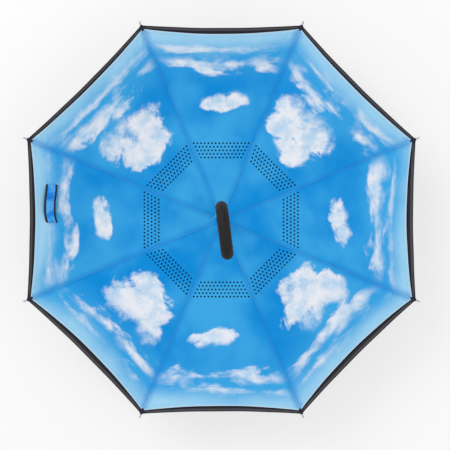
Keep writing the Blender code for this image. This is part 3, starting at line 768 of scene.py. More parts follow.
class Cloth:
    """One canopy: where a point of a gore lies, given across and outward in the gore's plane."""

    def __init__(self, node, side, short, cuts):
        self.line = Line(node)
        self.side = side
        self.cuts = cuts
        self.inner = self.line.start * APOTHEM
        self.outer = self.line.end * APOTHEM
        self.corner = self.outer - short

    def hem(self, gore, across):
        """How far out the hem is at a place across a gore."""
        half = self.corner * HALF_GORE
        return self.corner - self.cuts[gore] * (1 - (np.abs(across) / half) ** 2)

    def place(self, gore, across, outward):
        """Points of a gore as an array of three columns."""
        across = np.asarray(across, float)
        outward = np.asarray(outward, float)
        half = np.maximum(outward * HALF_GORE, SMALLEST_HALF)
        from_seam = np.clip(1 - np.abs(across) / half, 0, 1)
        height = self.line.height(outward / APOTHEM, smooth_share(from_seam * SLACK_SHARE))
        height = height + self._fullness(gore, across, outward, half, from_seam)
        angle = FIRST_SPOKE + STEP_ANGLE * (gore + 0.5)
        x = outward * math.cos(angle) - across * math.sin(angle)
        y = outward * math.sin(angle) + across * math.cos(angle)
        return np.stack([x, y, height], axis=-1)

    def _fullness(self, gore, across, outward, half, from_seam):
        """Tie dimples at the spokes, folds that fan in from the corners, and soft waves."""
        to_seam = half - np.abs(across)
        from_tie = (outward / APOTHEM - TIE_REACH) / TIE_HALF
        dimple = -TIE_DEPTH * np.exp(-from_tie ** 2 - (to_seam / TIE_HALF) ** 2)
        to_corner = np.hypot(self.outer - outward, to_seam)
        angle = np.arctan2(self.outer - outward, to_seam + FAN_OFFSET)
        fan = np.sin(angle * FAN_FOLDS + gore) * np.exp(-to_corner / FAN_REACH)
        fan = fan * smooth_share(to_corner / FAN_START)
        open_share = smooth_share(from_seam * OPEN_SHARE)
        near_hem = smooth_share((outward - FLUTTER_START) / FLUTTER_GROWTH)
        flutter = np.sin(across * FLUTTER_TURNS + gore * 1.7) * near_hem * open_share
        swell = np.sin(outward * SWELL_TURNS_OUT + gore * 2.1) * open_share
        swell = swell * np.cos(across * SWELL_TURNS_ACROSS - gore)
        return self.side * dimple + WAVE_DEPTH * (0.9 * fan + 0.9 * flutter + 0.8 * swell)

    def normal(self, gore, across, outward):
        """Unit normals towards the handle."""
        step = NORMAL_STEP
        side = self.place(gore, across + step, outward) - self.place(gore, across - step, outward)
        out = self.place(gore, across, outward + step) - self.place(gore, across, outward - step)
        up = np.cross(out, side)
        up *= np.sign(up[..., 2:3])
        return up / np.linalg.norm(up, axis=-1, keepdims=True)


def sky_canopy():
    """The canopy of the print, whose hem stops short so that a border of black shows round it."""
    cuts = [BLACK_HEM_CUT + metres(px) - BLACK_AT_CORNER for px in BLACK_SHOWN_PX]
    return Cloth("inner_canopy", 1, BLACK_AT_CORNER, cuts)


def vent_middles():
    """The vents of one gore, as (across, outward)."""
    cloth = settings("cloth")
    places = []
    for row in range(cloth.vent_rows):
        count = cloth.vent_first_count + row
        outward = cloth.vent_first_row + row * cloth.vent_row_pitch
        places += [((i - (count - 1) / 2) * cloth.vent_pitch, outward) for i in range(count)]
    return places


def spread_between(first, last, spacing):
    """Evenly spread values from first to last, about a spacing apart."""
    count = max(1, round(abs(last - first) / spacing))
    return [first + (last - first) * i / count for i in range(count + 1)]


def joint_cut(tuck):
    """The line over half a gore, square to its spoke at the joint, less a tuck that widens inward."""
    def cut(across):
        share = 1 - abs(across) / (JOINT_REACH * HALF_GORE_SINE)
        reach = JOINT_REACH - tuck * (TUCK_AT_SEAM_SHARE + (1 - TUCK_AT_SEAM_SHARE) * share)
        return (reach - abs(across) * HALF_GORE_SINE) / APOTHEM
    return cut


def seam_end(edge):
    """How far out an edge meets the seam along the spoke."""
    outward = edge(0.0)
    for _ in range(SEAM_TRIES):
        outward = float(edge(outward * HALF_GORE))
    return outward


class HalfGore:
    """Half a gore's cloth in its plane, between two edges, with its vents left open."""

    def __init__(self, low, high, sign, vents):
        self.low = lambda across: float(low(across))
        self.high = lambda across: float(high(across))
        self.sign = sign
        self.vents = vents
        self.grid = settings("cloth").grid
        self.radius = settings("cloth").vent_radius
        self.low_end = seam_end(self.low)
        self.high_end = seam_end(self.high)

    def triangles(self):
        """Its points as (across, outward), and its triangles."""
        outline = self.outline()
        points = list(outline)
        edges = [(i, (i + 1) % len(outline)) for i in range(len(outline))]
        for x, y in [(x, y) for x, y in self.vents if self.sign * x > self.radius]:
            first = len(points)
            ring = [2 * math.pi * i / VENT_SIDES for i in range(VENT_SIDES)]
            points += [(x + self.radius * math.cos(a), y + self.radius * math.sin(a)) for a in ring]
            edges += [(first + i, first + (i + 1) % VENT_SIDES) for i in range(VENT_SIDES)]
        points += self.middle_vents() + self.inside()
        found = delaunay_2d_cdt([Vector(p) for p in points], edges, [], 0, SMALLEST_GAP)
        flat, triangles = found[0], found[2]
        return [(v.x, v.y) for v in flat], [t for t in triangles if self.covers(flat, t)]

    def outline(self):
        """Up the middle of the gore, along the outer edge, down the seam and back."""
        middle = [(0.0, out) for out in spread_between(self.low(0.0), self.high(0.0), self.grid)]
        if self.vents:
            middle = self.opened(middle)
        outer = [(across, self.high(across)) for across in
                 spread_between(0.0, self.sign * self.high_end * HALF_GORE, self.grid)[1:]]
        seam = [(self.sign * out * HALF_GORE, out) for out in
                spread_between(self.high_end, self.low_end, self.grid)[1:]]
        inner = [(across, self.low(across)) for across in
                 spread_between(self.sign * self.low_end * HALF_GORE, 0.0, self.grid)[1:-1]]
        return middle + outer + seam + inner

    def on_middle(self):
        """How far out the vents are that lie on the gore's middle line."""
        return [y for x, y in self.vents if abs(x) < self.radius]

    def opened(self, middle):
        """The gore's middle line, opened where vents lie on it."""
        clear = self.radius * VENT_LINE_CLEAR_SHARE
        points = [p for p in middle if all(abs(p[1] - y) > clear for y in self.on_middle())]
        points += [(0.0, y + side * self.radius) for y in sorted(self.on_middle()) for side in (-1, 1)]
        return sorted(points, key=lambda p: p[1])

    def middle_vents(self):
        """Half rings of the vents that lie on the gore's middle line."""
        turns = [math.pi * i / (VENT_SIDES // 2) - math.pi / 2 for i in range(1, VENT_SIDES // 2)]
        return [(self.sign * self.radius * math.cos(turn), y + self.radius * math.sin(turn))
                for y in self.on_middle() for turn in turns]

    def inside(self):
        """Mesh points between the edges, clear of them and of the vents."""
        points = []
        lowest = min(self.low(0.0), self.low_end)
        highest = max(self.high(0.0), self.high_end)
        clear = self.grid * EDGE_CLEAR_SHARE
        around = self.radius * VENT_CLEAR_SHARE
        for out in np.arange(lowest + self.grid, highest, self.grid):
            for across in np.arange(self.grid, out * HALF_GORE - clear, self.grid):
                if not self.low(across) + clear < out < self.high(across) - clear:
                    continue
                place = (self.sign * across, out)
                if all(math.dist(place, vent) >= around for vent in self.vents):
                    points.append(place)
        return points

    def covers(self, flat, triangle):
        """Whether a triangle lies on the cloth."""
        corners = [flat[i] for i in triangle]
        x = sum(corner.x for corner in corners) / 3
        y = sum(corner.y for corner in corners) / 3
        area = abs((corners[1] - corners[0]).cross(corners[2] - corners[0]))
        if area < SMALLEST_AREA or not 0 <= self.sign * x <= y * HALF_GORE:
            return False
        if not self.low(x) < y < self.high(x):
            return False
        inner = self.radius * math.cos(math.pi / VENT_SIDES) * VENT_INSIDE_SHARE
        return all(math.dist((x, y), vent) > inner for vent in self.vents)


class ClothWork:
    """A cloth's mesh in the making, with UV maps of its place in the gore and of its hem."""

    def __init__(self):
        self.mesh = bmesh.new()
        self.cloth_uv = self.mesh.loops.layers.uv.new("cloth")
        self.place_uv = self.mesh.loops.layers.uv.new("place")

    def add(self, gore, points, places, to_hem, faces):
        """Adds faces over points, each with its place in the gore and its distance to the hem."""
        made = [self.mesh.verts.new(point) for point in points]
        for numbers in faces:
            face = self.mesh.faces.new([made[i] for i in numbers])
            for loop, i in zip(face.loops, numbers):
                loop[self.cloth_uv].uv = places[i]
                loop[self.place_uv].uv = (gore, to_hem[i])

    def finished(self, name):
        """The cloth as an object that faces up, with its thickness."""
        work = self.mesh
        loose = [v for v in work.verts if not v.link_faces]
        bmesh.ops.delete(work, geom=loose, context="VERTS")
        bmesh.ops.remove_doubles(work, verts=work.verts, dist=MERGE_DISTANCE)
        for face in work.faces:
            face.normal_update()
            if face.normal.z < 0:
                face.normal_flip()
            face.smooth = True
        mesh = bpy.data.meshes.new(name)
        work.to_mesh(mesh)
        work.free()
        piece = linked_object(name, mesh)
        add_wall(piece, settings("cloth").thickness)
        apply_modifiers(piece)
        return piece


def tucked(cloth, across, outward, points):
    """Lowers what lies inside the joint, where an outer wedge slips under an inner one."""
    reach = outward * APOTHEM + np.abs(across) * HALF_GORE_SINE
    share = smooth_share((JOINT_REACH - reach) / TUCK_SLOPE)
    return points - np.outer(share, (0, 0, cloth.side * TUCK_DEPTH))


def cloth_piece(name, cloth, spoke, is_inner, vents):
    """One wedge of cloth, from the middle of one gore over a spoke to the middle of the next."""
    work = ClothWork()
    for gore, sign in ((spoke, -1), ((spoke - 1) % SPOKES, 1)):
        low = (lambda x: cloth.inner) if is_inner else joint_cut(TUCK)
        high = joint_cut(0) if is_inner else (lambda x, g=gore: cloth.hem(g, x))
        flat, triangles = HalfGore(low, high, sign, vents).triangles()
        across, outward = np.array(flat).T
        points = cloth.place(gore, across, outward)
        if not is_inner:
            points = tucked(cloth, across, outward, points)
        work.add(gore, points, flat, cloth.hem(gore, across) - outward, triangles)
    piece = work.finished(name)
    give_true_normals(piece, cloth)
    return piece


def give_true_normals(piece, cloth):
    """Sets both faces' normals from the whole canopy's shape, so that wedges meet without a line."""
    mesh = piece.data
    count = len(mesh.loops)
    maps = {}
    for name in ("cloth", "place"):
        flat = np.zeros(count * 2, np.float32)
        mesh.uv_layers[name].uv.foreach_get("vector", flat)
        maps[name] = flat.reshape(-1, 2)
    across, outward = maps["cloth"].T.astype(float)
    gores = np.rint(maps["place"][:, 0]).astype(int)
    true = np.zeros((count, 3))
    for gore in set(gores.tolist()):
        mask = gores == gore
        true[mask] = cloth.normal(gore, across[mask], outward[mask])
    near_seam = outward * HALF_GORE - np.abs(across) < SEAM_NEAR
    true[near_seam] = seam_normals(cloth, gores, across, outward, near_seam)
    normals = []
    for face in mesh.polygons:
        face_normal = np.array(face.normal)
        for i in face.loop_indices:
            lean = float(face_normal @ true[i])
            normals.append(true[i] * np.sign(lean) if abs(lean) > FACING_SHARE else face_normal)
    mesh.normals_split_custom_set([tuple(n) for n in normals])


def seam_normals(cloth, gores, across, outward, mask):
    """On a seam, the mean of the two gores' normals."""
    out = []
    for gore, x, y in zip(gores[mask], across[mask], outward[mask]):
        other = (gore + 1) % SPOKES if x > 0 else (gore - 1) % SPOKES
        inside = x * SEAM_INSIDE_SHARE
        both = cloth.normal(gore, inside, y) + cloth.normal(other, -inside, y)
        out.append(both / np.linalg.norm(both))
    return np.array(out)


def build_canopy(node, slot, cloth, material, inner_body, inner_share, vents):
    """All wedges of one canopy, inner and outer."""
    for spoke in range(SPOKES):
        number = spoke + 1
        wedges = (("inner", f"{inner_body}_{number}", inner_share, vents, f"joint_bracket_{number}"),
                  ("outer", f"rod_{number}", FOLDED_SHARE, [], f"rod_{number}"))
        for label, body, share, holes, rests_on in wedges:
            piece = cloth_piece(f"{slot}_{label}_{number}", cloth, spoke, label == "inner", holes)
            fit(piece, body, material)
            fold_up(piece)
            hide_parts(node)


def gathered_side(cloth, spoke, sign):
    """One side of a gather: its gore, its points and their places in the gore."""
    gore = spoke if sign > 0 else (spoke - 1) % SPOKES
    points, places = [], []
    for reach in np.linspace(GATHER_START, GATHER_END, GATHER_ROWS):
        half = (FOLDED_RADIUS + FOLDED_SPREAD_SHARE * reach) * HALF_GORE
        aside = half * np.linspace(0, 1, GATHER_COLUMNS)
        outward = reach * APOTHEM + aside * HALF_GORE_SINE
        across = sign * (aside * APOTHEM - reach * HALF_GORE_SINE)
        along = smooth_share((reach - GATHER_START) / (GATHER_TURN_END - GATHER_START))
        row = cloth.place(gore, across, outward)
        row[:, 2] -= GATHER_DROP + GATHER_TURN_IN * (1 - along)
        points += list(row)
        places += list(zip(across, outward))
    return gore, points, places


def gathered_cloth(name, cloth, spoke):
    """A strip of the print along one rib, as wide as the folded ribs stand apart."""
    work = ClothWork()
    faces = grid_faces(GATHER_ROWS, GATHER_COLUMNS)
    for sign in (-1, 1):
        gore, points, places = gathered_side(cloth, spoke, sign)
        work.add(gore, points, places, [GATHER_TO_HEM] * len(points), faces)
    return work.finished(name)


class UMBRELLA_OT_blue_canopy(bpy.types.Operator):
    """Makes the blue sky cloth with its vents"""

    bl_idname = "umbrella.blue_canopy"
    bl_label = "Blue canopy"

    def execute(self, context):
        build_canopy("inner_canopy", "sky_cloth", sky_canopy(), sky_material(), "rib",
                     FOLDED_SHARE, vent_middles())
        return {"FINISHED"}


class UMBRELLA_OT_black_canopy(bpy.types.Operator):
    """Makes the plain black cloth on the crown side"""

    bl_idname = "umbrella.black_canopy"
    bl_label = "Black canopy"

    def execute(self, context):
        cloth = Cloth("outer_canopy", -1, 0.0, [BLACK_HEM_CUT] * SPOKES)
        build_canopy("outer_canopy", "black_cloth", cloth, black_cloth_material(), "link",
                     FOLDED_INSIDE_SHARE, [])
        return {"FINISHED"}


class UMBRELLA_OT_gathers(bpy.types.Operator):
    """Makes the gathered cloth under the print, which closes round the folded ribs at the runner"""

    bl_idname = "umbrella.gathers"
    bl_label = "Gathers at the runner"

    def execute(self, context):
        cloth = sky_canopy()
        material = bpy.data.materials["sky_print"]
        for spoke in range(SPOKES):
            number = spoke + 1
            piece = gathered_cloth(f"gathered_cloth_{number}", cloth, spoke)
            fit(piece, f"rib_{number}", material)
        return {"FINISHED"}


# Strap, pockets and rosette

# The strap lies over the middle of one gore and rides the spoke before it
STRAP_GORE = SPOKES // 2 - 1
STRAP_ALONG = 40
STRAP_ACROSS = 12
STRAP_BOW_LEAN = 0.45
STRAP_ARCH_POWER = 1.2
STRAP_CLEAR = 0.0008
STRAP_CUP = 0.0010
STRAP_RIPPLE = 0.0006
STRAP_RIPPLE_TURNS = (9, 120)
STRAP_INSET_SHARE = 0.6
BINDING_THICKNESS = 0.0005
BINDING_HEIGHT_SHARE = 0.95
BINDING_POWER = 0.6
# The corner pocket: how far it reaches either way from the corner, and its half widths
POCKET_STEPS = 8
POCKET_BACK = 0.017
POCKET_FRONT = 0.002
POCKET_HALF = 0.0085
POCKET_NOSE = 0.0036
POCKET_THICKNESS = 0.0006
POCKET_CLEAR = 0.0008
POCKET_HUMP = 0.0010
POCKET_DROP = 0.0016
POCKET_CUT_SHARE = 0.35
# The rosette: from the runner's sleeve to a margin past the clamp ring
SLEEVE_RADIUS = 0.0105
ROSETTE_FACETS = 96
ROSETTE_STEPS = 14
ROSETTE_PLEATS = 16
ROSETTE_MARGIN = 0.0026
ROSETTE_NECK = 0.009
ROSETTE_GAP = 0.0007
ROSETTE_PLEAT_DEPTH = 0.0013
ROSETTE_WAVE = 0.0006
ROSETTE_DROOP_SHARE = 0.82
ROSETTE_THICKNESS = 0.0006
WELD_DISTANCE = 0.00001


class StrapLine:
    """The closing strap's surface: it bridges the cloth in a low arch, bowed outward."""

    def __init__(self, strap):
        low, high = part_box("closing_strap")
        self.strap = strap
        self.cloth = sky_canopy()
        self.outward = -(low[0] + high[0]) / 2
        self.middle = -(low[1] + high[1]) / 2

    def point(self, along, across, lift):
        """A point along the strap from -1 to 1, across it in metres and lifted off the arch."""
        strap = self.strap
        inward = 1 - along * along
        sideways = self.middle + along * strap.length / 2
        bow = strap.bow * inward * (1 + STRAP_BOW_LEAN * along)
        outward = self.outward + across + bow - strap.bow / 2
        base = self.cloth.place(STRAP_GORE, sideways, outward)
        normal = self.cloth.normal(STRAP_GORE, sideways, outward)
        cup = STRAP_CUP * (1 - (2 * across / strap.width) ** 2)
        arch = strap.arch * inward ** STRAP_ARCH_POWER
        turns_along, turns_across = STRAP_RIPPLE_TURNS
        ripple = STRAP_RIPPLE * math.sin(along * turns_along + across * turns_across) * inward
        rise = arch + strap.thickness / 2 + STRAP_CLEAR + cup + lift + ripple
        return Vector(base) + Vector(normal) * rise

    def band_rows(self):
        """The band between its bindings."""
        strap = self.strap
        inner = strap.width / 2 - strap.binding * STRAP_INSET_SHARE
        return [[self.point(along, across, 0)
                 for across in np.linspace(-inner, inner, STRAP_ACROSS + 1)]
                for along in np.linspace(-1, 1, STRAP_ALONG + 1)]

    def binding_rows(self, side):
        """A ribbon folded round one edge of the band, as rows round its section."""
        strap = self.strap
        middle = side * (strap.width / 2 - strap.binding / 2)
        section = []
        for step in range(STRAP_ACROSS + 1):
            angle = 2 * math.pi * step / STRAP_ACROSS
            across = middle + strap.binding / 2 * signed_power(math.cos(angle), BINDING_POWER)
            height = strap.thickness * BINDING_HEIGHT_SHARE
            section.append((across, height * signed_power(math.sin(angle), BINDING_POWER)))
        return [[self.point(along, across, lift) for across, lift in section]
                for along in np.linspace(-1, 1, STRAP_ALONG + 1)]


class UMBRELLA_OT_strap(bpy.types.Operator):
    """Makes the closing strap with its bound edges"""

    bl_idname = "umbrella.strap"
    bl_label = "Closing strap"

    def execute(self, context):
        strap = settings("strap")
        line = StrapLine(strap)
        band = grid_object("strap_band", line.band_rows(), strap.thickness)
        self.finish_piece(band, "sky_cloth", strap_material())
        tape = binding_material()
        for label, side in (("inner", -1), ("outer", 1)):
            rows = line.binding_rows(side)
            edge = grid_object(f"strap_binding_{label}", rows, BINDING_THICKNESS)
            self.finish_piece(edge, "black_cloth", tape)
        return {"FINISHED"}

    def finish_piece(self, piece, slot, material):
        apply_modifiers(piece)
        bpy.ops.object.shade_smooth_by_angle(angle=SMOOTH_ANGLE)
        fit(piece, f"rod_{STRAP_GORE + 1}", material)
        fold_up(piece)
        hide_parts("closing_strap")


def pocket_rows(line):
    """The fold of black cloth that holds a tip: rows along the first spoke out to its corner."""
    rows = []
    for step in range(POCKET_STEPS + 1):
        share = step / POCKET_STEPS
        out = line.end - POCKET_BACK + (POCKET_BACK + POCKET_FRONT) * share
        half = POCKET_HALF + (POCKET_NOSE - POCKET_HALF) * share ** 1.3
        top = float(line.height(np.array(out), 0.0)) + POCKET_CLEAR
        row = []
        for side in np.linspace(-1, 1, POCKET_STEPS * 2 + 1):
            hump = POCKET_HUMP * (1 - side * side) * math.sin(math.pi * min(1, share + 0.25))
            cut = POCKET_BACK * POCKET_CUT_SHARE * (1 - abs(side)) * (1 - share)
            drop = POCKET_DROP * share ** 2 * side ** 2
            row.append(Vector((out + cut * 0.6, side * half, top + hump - drop)))
        rows.append(row)
    return rows


class UMBRELLA_OT_pockets(bpy.types.Operator):
    """Makes the corner pockets that hold the tips"""

    bl_idname = "umbrella.pockets"
    bl_label = "Corner pockets"

    def execute(self, context):
        first = grid_object("corner_pocket_1", pocket_rows(Line("inner_canopy")), POCKET_THICKNESS)
        first.rotation_euler = (0, 0, FIRST_SPOKE)
        apply_modifiers(first)
        bpy.ops.object.transform_apply(location=True, rotation=True, scale=True)
        bpy.ops.object.shade_smooth_by_angle(angle=SMOOTH_ANGLE)
        pieces = [first]
        for spoke in range(1, SPOKES):
            mesh = first.data.copy()
            mesh.transform(Matrix.Rotation(STEP_ANGLE * spoke, 4, "Z"))
            pieces.append(linked_object(f"corner_pocket_{spoke + 1}", mesh))
        tape = binding_material()
        for spoke, piece in enumerate(pieces):
            fit(piece, f"rod_{spoke + 1}", tape)
            fold_up(piece)
        return {"FINISHED"}


def rosette_rows(throat, rim, ring_top, ring_height):
    """Rings of pleated cloth from the runner's sleeve down over the clamp ring."""
    rows = []
    for step in range(ROSETTE_STEPS + 1):
        share = step / ROSETTE_STEPS
        radius = throat + (rim - throat) * share
        rise = ROSETTE_NECK * (1 - share) ** 3 + ROSETTE_GAP
        edge = (share - ROSETTE_DROOP_SHARE) / (1 - ROSETTE_DROOP_SHARE)
        height = ring_top + rise - ring_height * smooth_share(edge)
        row = []
        for facet in range(ROSETTE_FACETS + 1):
            angle = 2 * math.pi * facet / ROSETTE_FACETS
            pleat = 0.5 + 0.5 * math.cos(angle * ROSETTE_PLEATS + 0.6 * math.sin(angle * 3))
            lift = ROSETTE_PLEAT_DEPTH * pleat * (1 - share) ** 0.5
            outer = radius + ROSETTE_WAVE * math.sin(angle * 5) * share
            row.append((outer * math.cos(angle), outer * math.sin(angle), height + lift))
        rows.append(row)
    return rows


class UMBRELLA_OT_rosette(bpy.types.Operator):
    """Makes the gathered rosette of print that covers the clamp ring on the runner"""

    bl_idname = "umbrella.rosette"
    bl_label = "Runner rosette"

    def execute(self, context):
        low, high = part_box("canopy_clamp_ring")
        rim = (high[0] - low[0]) / 2 + ROSETTE_MARGIN
        throat = SLEEVE_RADIUS + ROSETTE_GAP
        rows = rosette_rows(throat, rim, high[2], high[2] - low[2])
        piece = grid_object("runner_rosette", rows, ROSETTE_THICKNESS)
        weld = piece.modifiers.new("Weld", "WELD")
        weld.merge_threshold = WELD_DISTANCE
        piece.modifiers.move(1, 0)
        apply_modifiers(piece)
        bpy.ops.object.shade_smooth_by_angle(angle=SMOOTH_ANGLE)
        fit(piece, "runner", rosette_material())
        return {"FINISHED"}


# Handle and hard parts

GRIP_FACETS = 32
GRIP_STEPS = 56
END_STEPS = 6
END_ANGLE = math.pi / 2 / END_STEPS
SMALLEST_END_SHARE = 0.05
SMALLEST_TURN = 0.0001
NECK_FLARE_RATIO = 1.16
NECK_LIP = 0.0012
NECK_ROUNDING_STEPS = 3
END_FACING_SHARE = 0.9


def grip_line(grip):
    """The centre line of the C as (outward, up), from its lower end round the back."""
    middle = grip.width / 2 - grip.back
    reach = grip.width / 2 - grip.radius
    half = grip.height / 2 - grip.radius
    power = 2 / grip.squareness
    limit = math.asin(grip.mouth ** (grip.squareness / 2))
    points = []
    for step in range(GRIP_STEPS + 1):
        angle = -limit - (2 * math.pi - 2 * limit) * step / GRIP_STEPS
        across = signed_power(math.cos(angle), power)
        points.append(Vector((middle + reach * across, 0, half * signed_power(math.sin(angle), power))))
    return points


def evenly_spaced(points, count):
    """The same line with even steps."""
    lengths = np.concatenate([[0], np.cumsum([(b - a).length for a, b in zip(points, points[1:])])])
    places = np.array(points)
    wanted = np.linspace(0, lengths[-1], count + 1)
    return [Vector([float(np.interp(value, lengths, places[:, axis])) for axis in range(3)])
            for value in wanted]


def with_round_ends(points, radius):
    """A line with steps added that round its ends, its directions, and each step's share of size."""
    last = len(points) - 1
    tangents = [(points[min(i + 1, last)] - points[max(i - 1, 0)]).normalized()
                for i in range(last + 1)]
    shares = [1.0] * len(points)
    for step in range(1, END_STEPS + 1):
        angle = END_ANGLE * step
        advance = radius * (math.sin(angle) - math.sin(angle - END_ANGLE))
        share = max(math.cos(angle), SMALLEST_END_SHARE)
        points = [points[0] - tangents[0] * advance, *points, points[-1] + tangents[-1] * advance]
        tangents = [tangents[0], *tangents, tangents[-1]]
        shares = [share, *shares, share]
    return points, tangents, shares


def add_grip(grip):
    """Sweeps a ring along the C by extruding it, with rounded ends."""
    line = evenly_spaced(grip_line(grip), GRIP_STEPS)
    points, tangents, shares = with_round_ends(line, grip.radius)
    leans = [math.atan2(tangent.x, tangent.z) for tangent in tangents]
    bpy.ops.object.select_all(action="DESELECT")
    bpy.ops.mesh.primitive_circle_add(vertices=GRIP_FACETS, radius=grip.radius * shares[0],
                                      fill_type="NGON", location=points[0], rotation=(0, leans[0], 0))
    piece = bpy.context.active_object
    piece.name = "c_grip"
    bpy.ops.object.transform_apply(location=True, rotation=True, scale=True)
    bpy.ops.object.mode_set(mode="EDIT")
    bpy.ops.mesh.select_all(action="SELECT")
    for i in range(1, len(points)):
        move = points[i] - points[i - 1]
        bpy.ops.mesh.extrude_region_move(TRANSFORM_OT_translate={"value": move})
        turn = (leans[i] - leans[i - 1] + math.pi) % (2 * math.pi) - math.pi
        if abs(turn) > SMALLEST_TURN:
            bpy.ops.transform.rotate(value=-turn, orient_axis="Y", orient_type="GLOBAL",
                                     center_override=points[i])
        size = shares[i] / shares[i - 1]
        if size != 1:
            bpy.ops.transform.resize(value=(size, size, size), center_override=points[i])
    bpy.ops.mesh.select_all(action="SELECT")
    bpy.ops.mesh.normals_make_consistent(inside=False)
    bpy.ops.object.mode_set(mode="OBJECT")
    return piece


def select_faces(piece, wanted):
    """Goes into edit mode with the wanted faces selected."""
    select_only(piece)
    bpy.ops.object.mode_set(mode="EDIT")
    bpy.ops.mesh.select_all(action="DESELECT")
    bpy.ops.mesh.select_mode(type="FACE")
    mesh = bmesh.from_edit_mesh(piece.data)
    for face in mesh.faces:
        if wanted(face):
            face.select_set(True)
    bmesh.update_edit_mesh(piece.data)


def add_neck(grip, top, bottom):
    """The neck under the grip, a little wider where it meets the grip, with a rounded lower lip."""
    bpy.ops.object.select_all(action="DESELECT")
    bpy.ops.mesh.primitive_cylinder_add(vertices=GRIP_FACETS, radius=grip.neck_radius,
                                        depth=top - bottom, end_fill_type="NGON",
                                        location=(0, 0, (top + bottom) / 2))
    neck = bpy.context.active_object
    neck.name = "grip_neck"
    bpy.ops.object.transform_apply(location=True, rotation=True, scale=True)
    select_faces(neck, lambda face: face.normal.z > END_FACING_SHARE)
    bpy.ops.transform.resize(value=(NECK_FLARE_RATIO, NECK_FLARE_RATIO, 1),
                             center_override=(0, 0, top))
    select_faces(neck, lambda face: face.normal.z < -END_FACING_SHARE)
    bpy.ops.mesh.inset(thickness=NECK_LIP)
    bpy.ops.mesh.extrude_region_move(TRANSFORM_OT_translate={"value": (0, 0, NECK_LIP)})
    bpy.ops.object.mode_set(mode="OBJECT")
    rounding = neck.modifiers.new("Rounding", "BEVEL")
    rounding.width = NECK_LIP / 2
    rounding.segments = NECK_ROUNDING_STEPS
    rounding.limit_method = "ANGLE"
    apply_modifiers(neck)
    return neck


class UMBRELLA_OT_grip(bpy.types.Operator):
    """Models the rubbery C grip over its solid"""

    bl_idname = "umbrella.grip"
    bl_label = "C grip"

    def execute(self, context):
        grip = settings("grip")
        low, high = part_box("c_handle")
        piece = add_grip(grip)
        neck = add_neck(grip, grip.radius - grip.height / 2, low[2])
        union = piece.modifiers.new("Neck", "BOOLEAN")
        union.operation = "UNION"
        union.object = neck
        apply_modifiers(piece)
        bpy.data.objects.remove(neck)
        select_only(piece)
        bpy.ops.transform.rotate(value=-grip.yaw, orient_axis="Z", center_override=(0, 0, 0))
        bpy.ops.object.transform_apply(location=True, rotation=True, scale=True)
        if abs(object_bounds()[1][2] - high[2]) > grip.radius:
            raise RuntimeError("the grip isn't over its solid")
        bpy.ops.object.shade_smooth_by_angle(angle=SMOOTH_ANGLE)
        fit(piece, "frame", rubber_material(grip.yaw))
        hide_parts("c_handle")
        return {"FINISHED"}


class UMBRELLA_OT_hard_finishes(bpy.types.Operator):
    """Gives every hard solid its finish"""

    bl_idname = "umbrella.hard_finishes"
    bl_label = "Hard finishes"

    def execute(self, context):
        looks = {"plated_steel": plated_material(), "fibreglass": fibreglass_material()}
        looks |= {slot: plastic_material(slot) for slot in PLASTICS}
        parts = frame["record"]["subparts"]
        unused = set(looks) - {part["material_slot"] for part in parts}
        if unused:
            raise RuntimeError(f"no solid has the slots {sorted(unused)}")
        for part in parts:
            look = looks.get(part["material_slot"])
            if look:
                for slot in frame["nodes"][part["node"]].material_slots:
                    slot.material = look
        return {"FINISHED"}


# Stage

CAMERA_DISTANCE = 2.1
SENSOR = 0.036
MILLIMETRES = 1000
RIM_BELOW_TIPS = 0.006
FLOOR_DROP = 0.001
FLOOR_LIFT = 0.56
FLOOR_SEEN_SHARE = 0.45
FLOOR_SIZE = 60
AMBIENT = 0.74
# Soft square lamps: name, place, size and power
LAMPS = (("key", (-1.6, 1.5, 2.4), 1.6, 38), ("fill", (1.8, -1.2, 2.2), 2.4, 11))
LAMP_TARGET = (0, 0, -0.45)


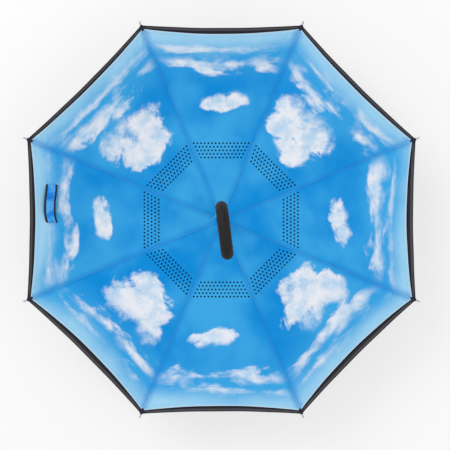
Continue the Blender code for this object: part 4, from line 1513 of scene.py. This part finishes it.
class UMBRELLA_OT_stage(bpy.types.Operator):
    """Sets up the pale floor, the soft lamps and the camera of the photograph"""

    bl_idname = "umbrella.stage"
    bl_label = "Stage"

    def execute(self, context):
        self.floor()
        self.lamps()
        self.camera()
        return {"FINISHED"}

    def floor(self):
        bpy.ops.object.select_all(action="DESELECT")
        bpy.ops.mesh.primitive_plane_add(size=FLOOR_SIZE, location=(0, 0, CAD_BOX[0][2] - FLOOR_DROP))
        floor = bpy.context.active_object
        floor.name = "floor"
        board = Board("pale_floor")
        seen = board.node("ShaderNodeLightPath")
        pale = settings("colours").floor
        seen_pale = tuple(part * FLOOR_SEEN_SHARE for part in pale)
        floor.data.materials.append(board.set(
            Base_Color=board.mix(seen, pale, seen_pale), Roughness=0.9, Specular_IOR_Level=0.1,
            Emission_Color=board.mix(seen, (0, 0, 0), (1, 1, 1)), Emission_Strength=FLOOR_LIFT))
        floor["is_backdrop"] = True

    def lamps(self):
        world = bpy.data.worlds.new("studio")
        world.use_nodes = True
        background = world.node_tree.nodes["Background"]
        background.inputs["Color"].default_value = (1, 1, 1, 1)
        background.inputs["Strength"].default_value = AMBIENT
        bpy.context.scene.world = world
        for name, place, size, power in LAMPS:
            lamp = bpy.data.lights.new(name, "AREA")
            lamp.size = size
            lamp.energy = power
            thing = bpy.data.objects.new(name, lamp)
            thing.location = place
            aim = Vector(LAMP_TARGET) - Vector(place)
            thing.rotation_euler = aim.to_track_quat("-Z", "Y").to_euler()
            bpy.context.scene.collection.objects.link(thing)

    def camera(self):
        scene = bpy.context.scene
        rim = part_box("tip_1")[1][2] - RIM_BELOW_TIPS
        over_x, over_y = CAMERA_OVER_PX
        data = bpy.data.cameras.new("photo_camera")
        data.sensor_width = MILLIMETRES * SENSOR
        data.lens = MILLIMETRES * SENSOR * CAMERA_DISTANCE / metres(PHOTO_SIZE)
        data.shift_x = (PHOTO_SIZE / 2 - over_x) / PHOTO_SIZE
        data.shift_y = (over_y - PHOTO_SIZE / 2) / PHOTO_SIZE
        camera = bpy.data.objects.new("photo_camera", data)
        camera.location = (metres(over_x - RIM_MIDDLE_PX[0]), -metres(over_y - RIM_MIDDLE_PX[1]),
                           rim + CAMERA_DISTANCE)
        scene.collection.objects.link(camera)
        scene.camera = camera
        scene.view_settings.view_transform = "Standard"


# Panel and running

OPERATORS = (
    UMBRELLA_OT_stage,
    UMBRELLA_OT_hard_finishes,
    UMBRELLA_OT_blue_canopy,
    UMBRELLA_OT_gathers,
    UMBRELLA_OT_black_canopy,
    UMBRELLA_OT_grip,
    UMBRELLA_OT_strap,
    UMBRELLA_OT_pockets,
    UMBRELLA_OT_rosette,
)


class UMBRELLA_PT_panel(bpy.types.Panel):
    """Lists the steps in the sidebar"""

    bl_idname = "UMBRELLA_PT_panel"
    bl_label = "Inverted umbrella"
    bl_space_type = "VIEW_3D"
    bl_region_type = "UI"
    bl_category = "Umbrella"

    def draw(self, context):
        for operator in OPERATORS:
            self.layout.operator(operator.bl_idname)


SETTINGS = {
    "umbrella_cloth": ClothSettings,
    "umbrella_colours": ColourSettings,
    "umbrella_grip": GripSettings,
    "umbrella_strap": StrapSettings,
}
CLASSES = (*SETTINGS.values(), *OPERATORS, UMBRELLA_PT_panel)


def register():
    for one in CLASSES:
        bpy.utils.register_class(one)
    for name, group in SETTINGS.items():
        setattr(bpy.types.Scene, name, PointerProperty(type=group))


def unregister():
    for name in SETTINGS:
        delattr(bpy.types.Scene, name)
    for one in reversed(CLASSES):
        bpy.utils.unregister_class(one)


def main():
    """Runs every step in order."""
    register()
    for operator in OPERATORS:
        group, name = operator.bl_idname.split(".")
        getattr(getattr(bpy.ops, group), name)()


if __name__ == "__main__":
    main()
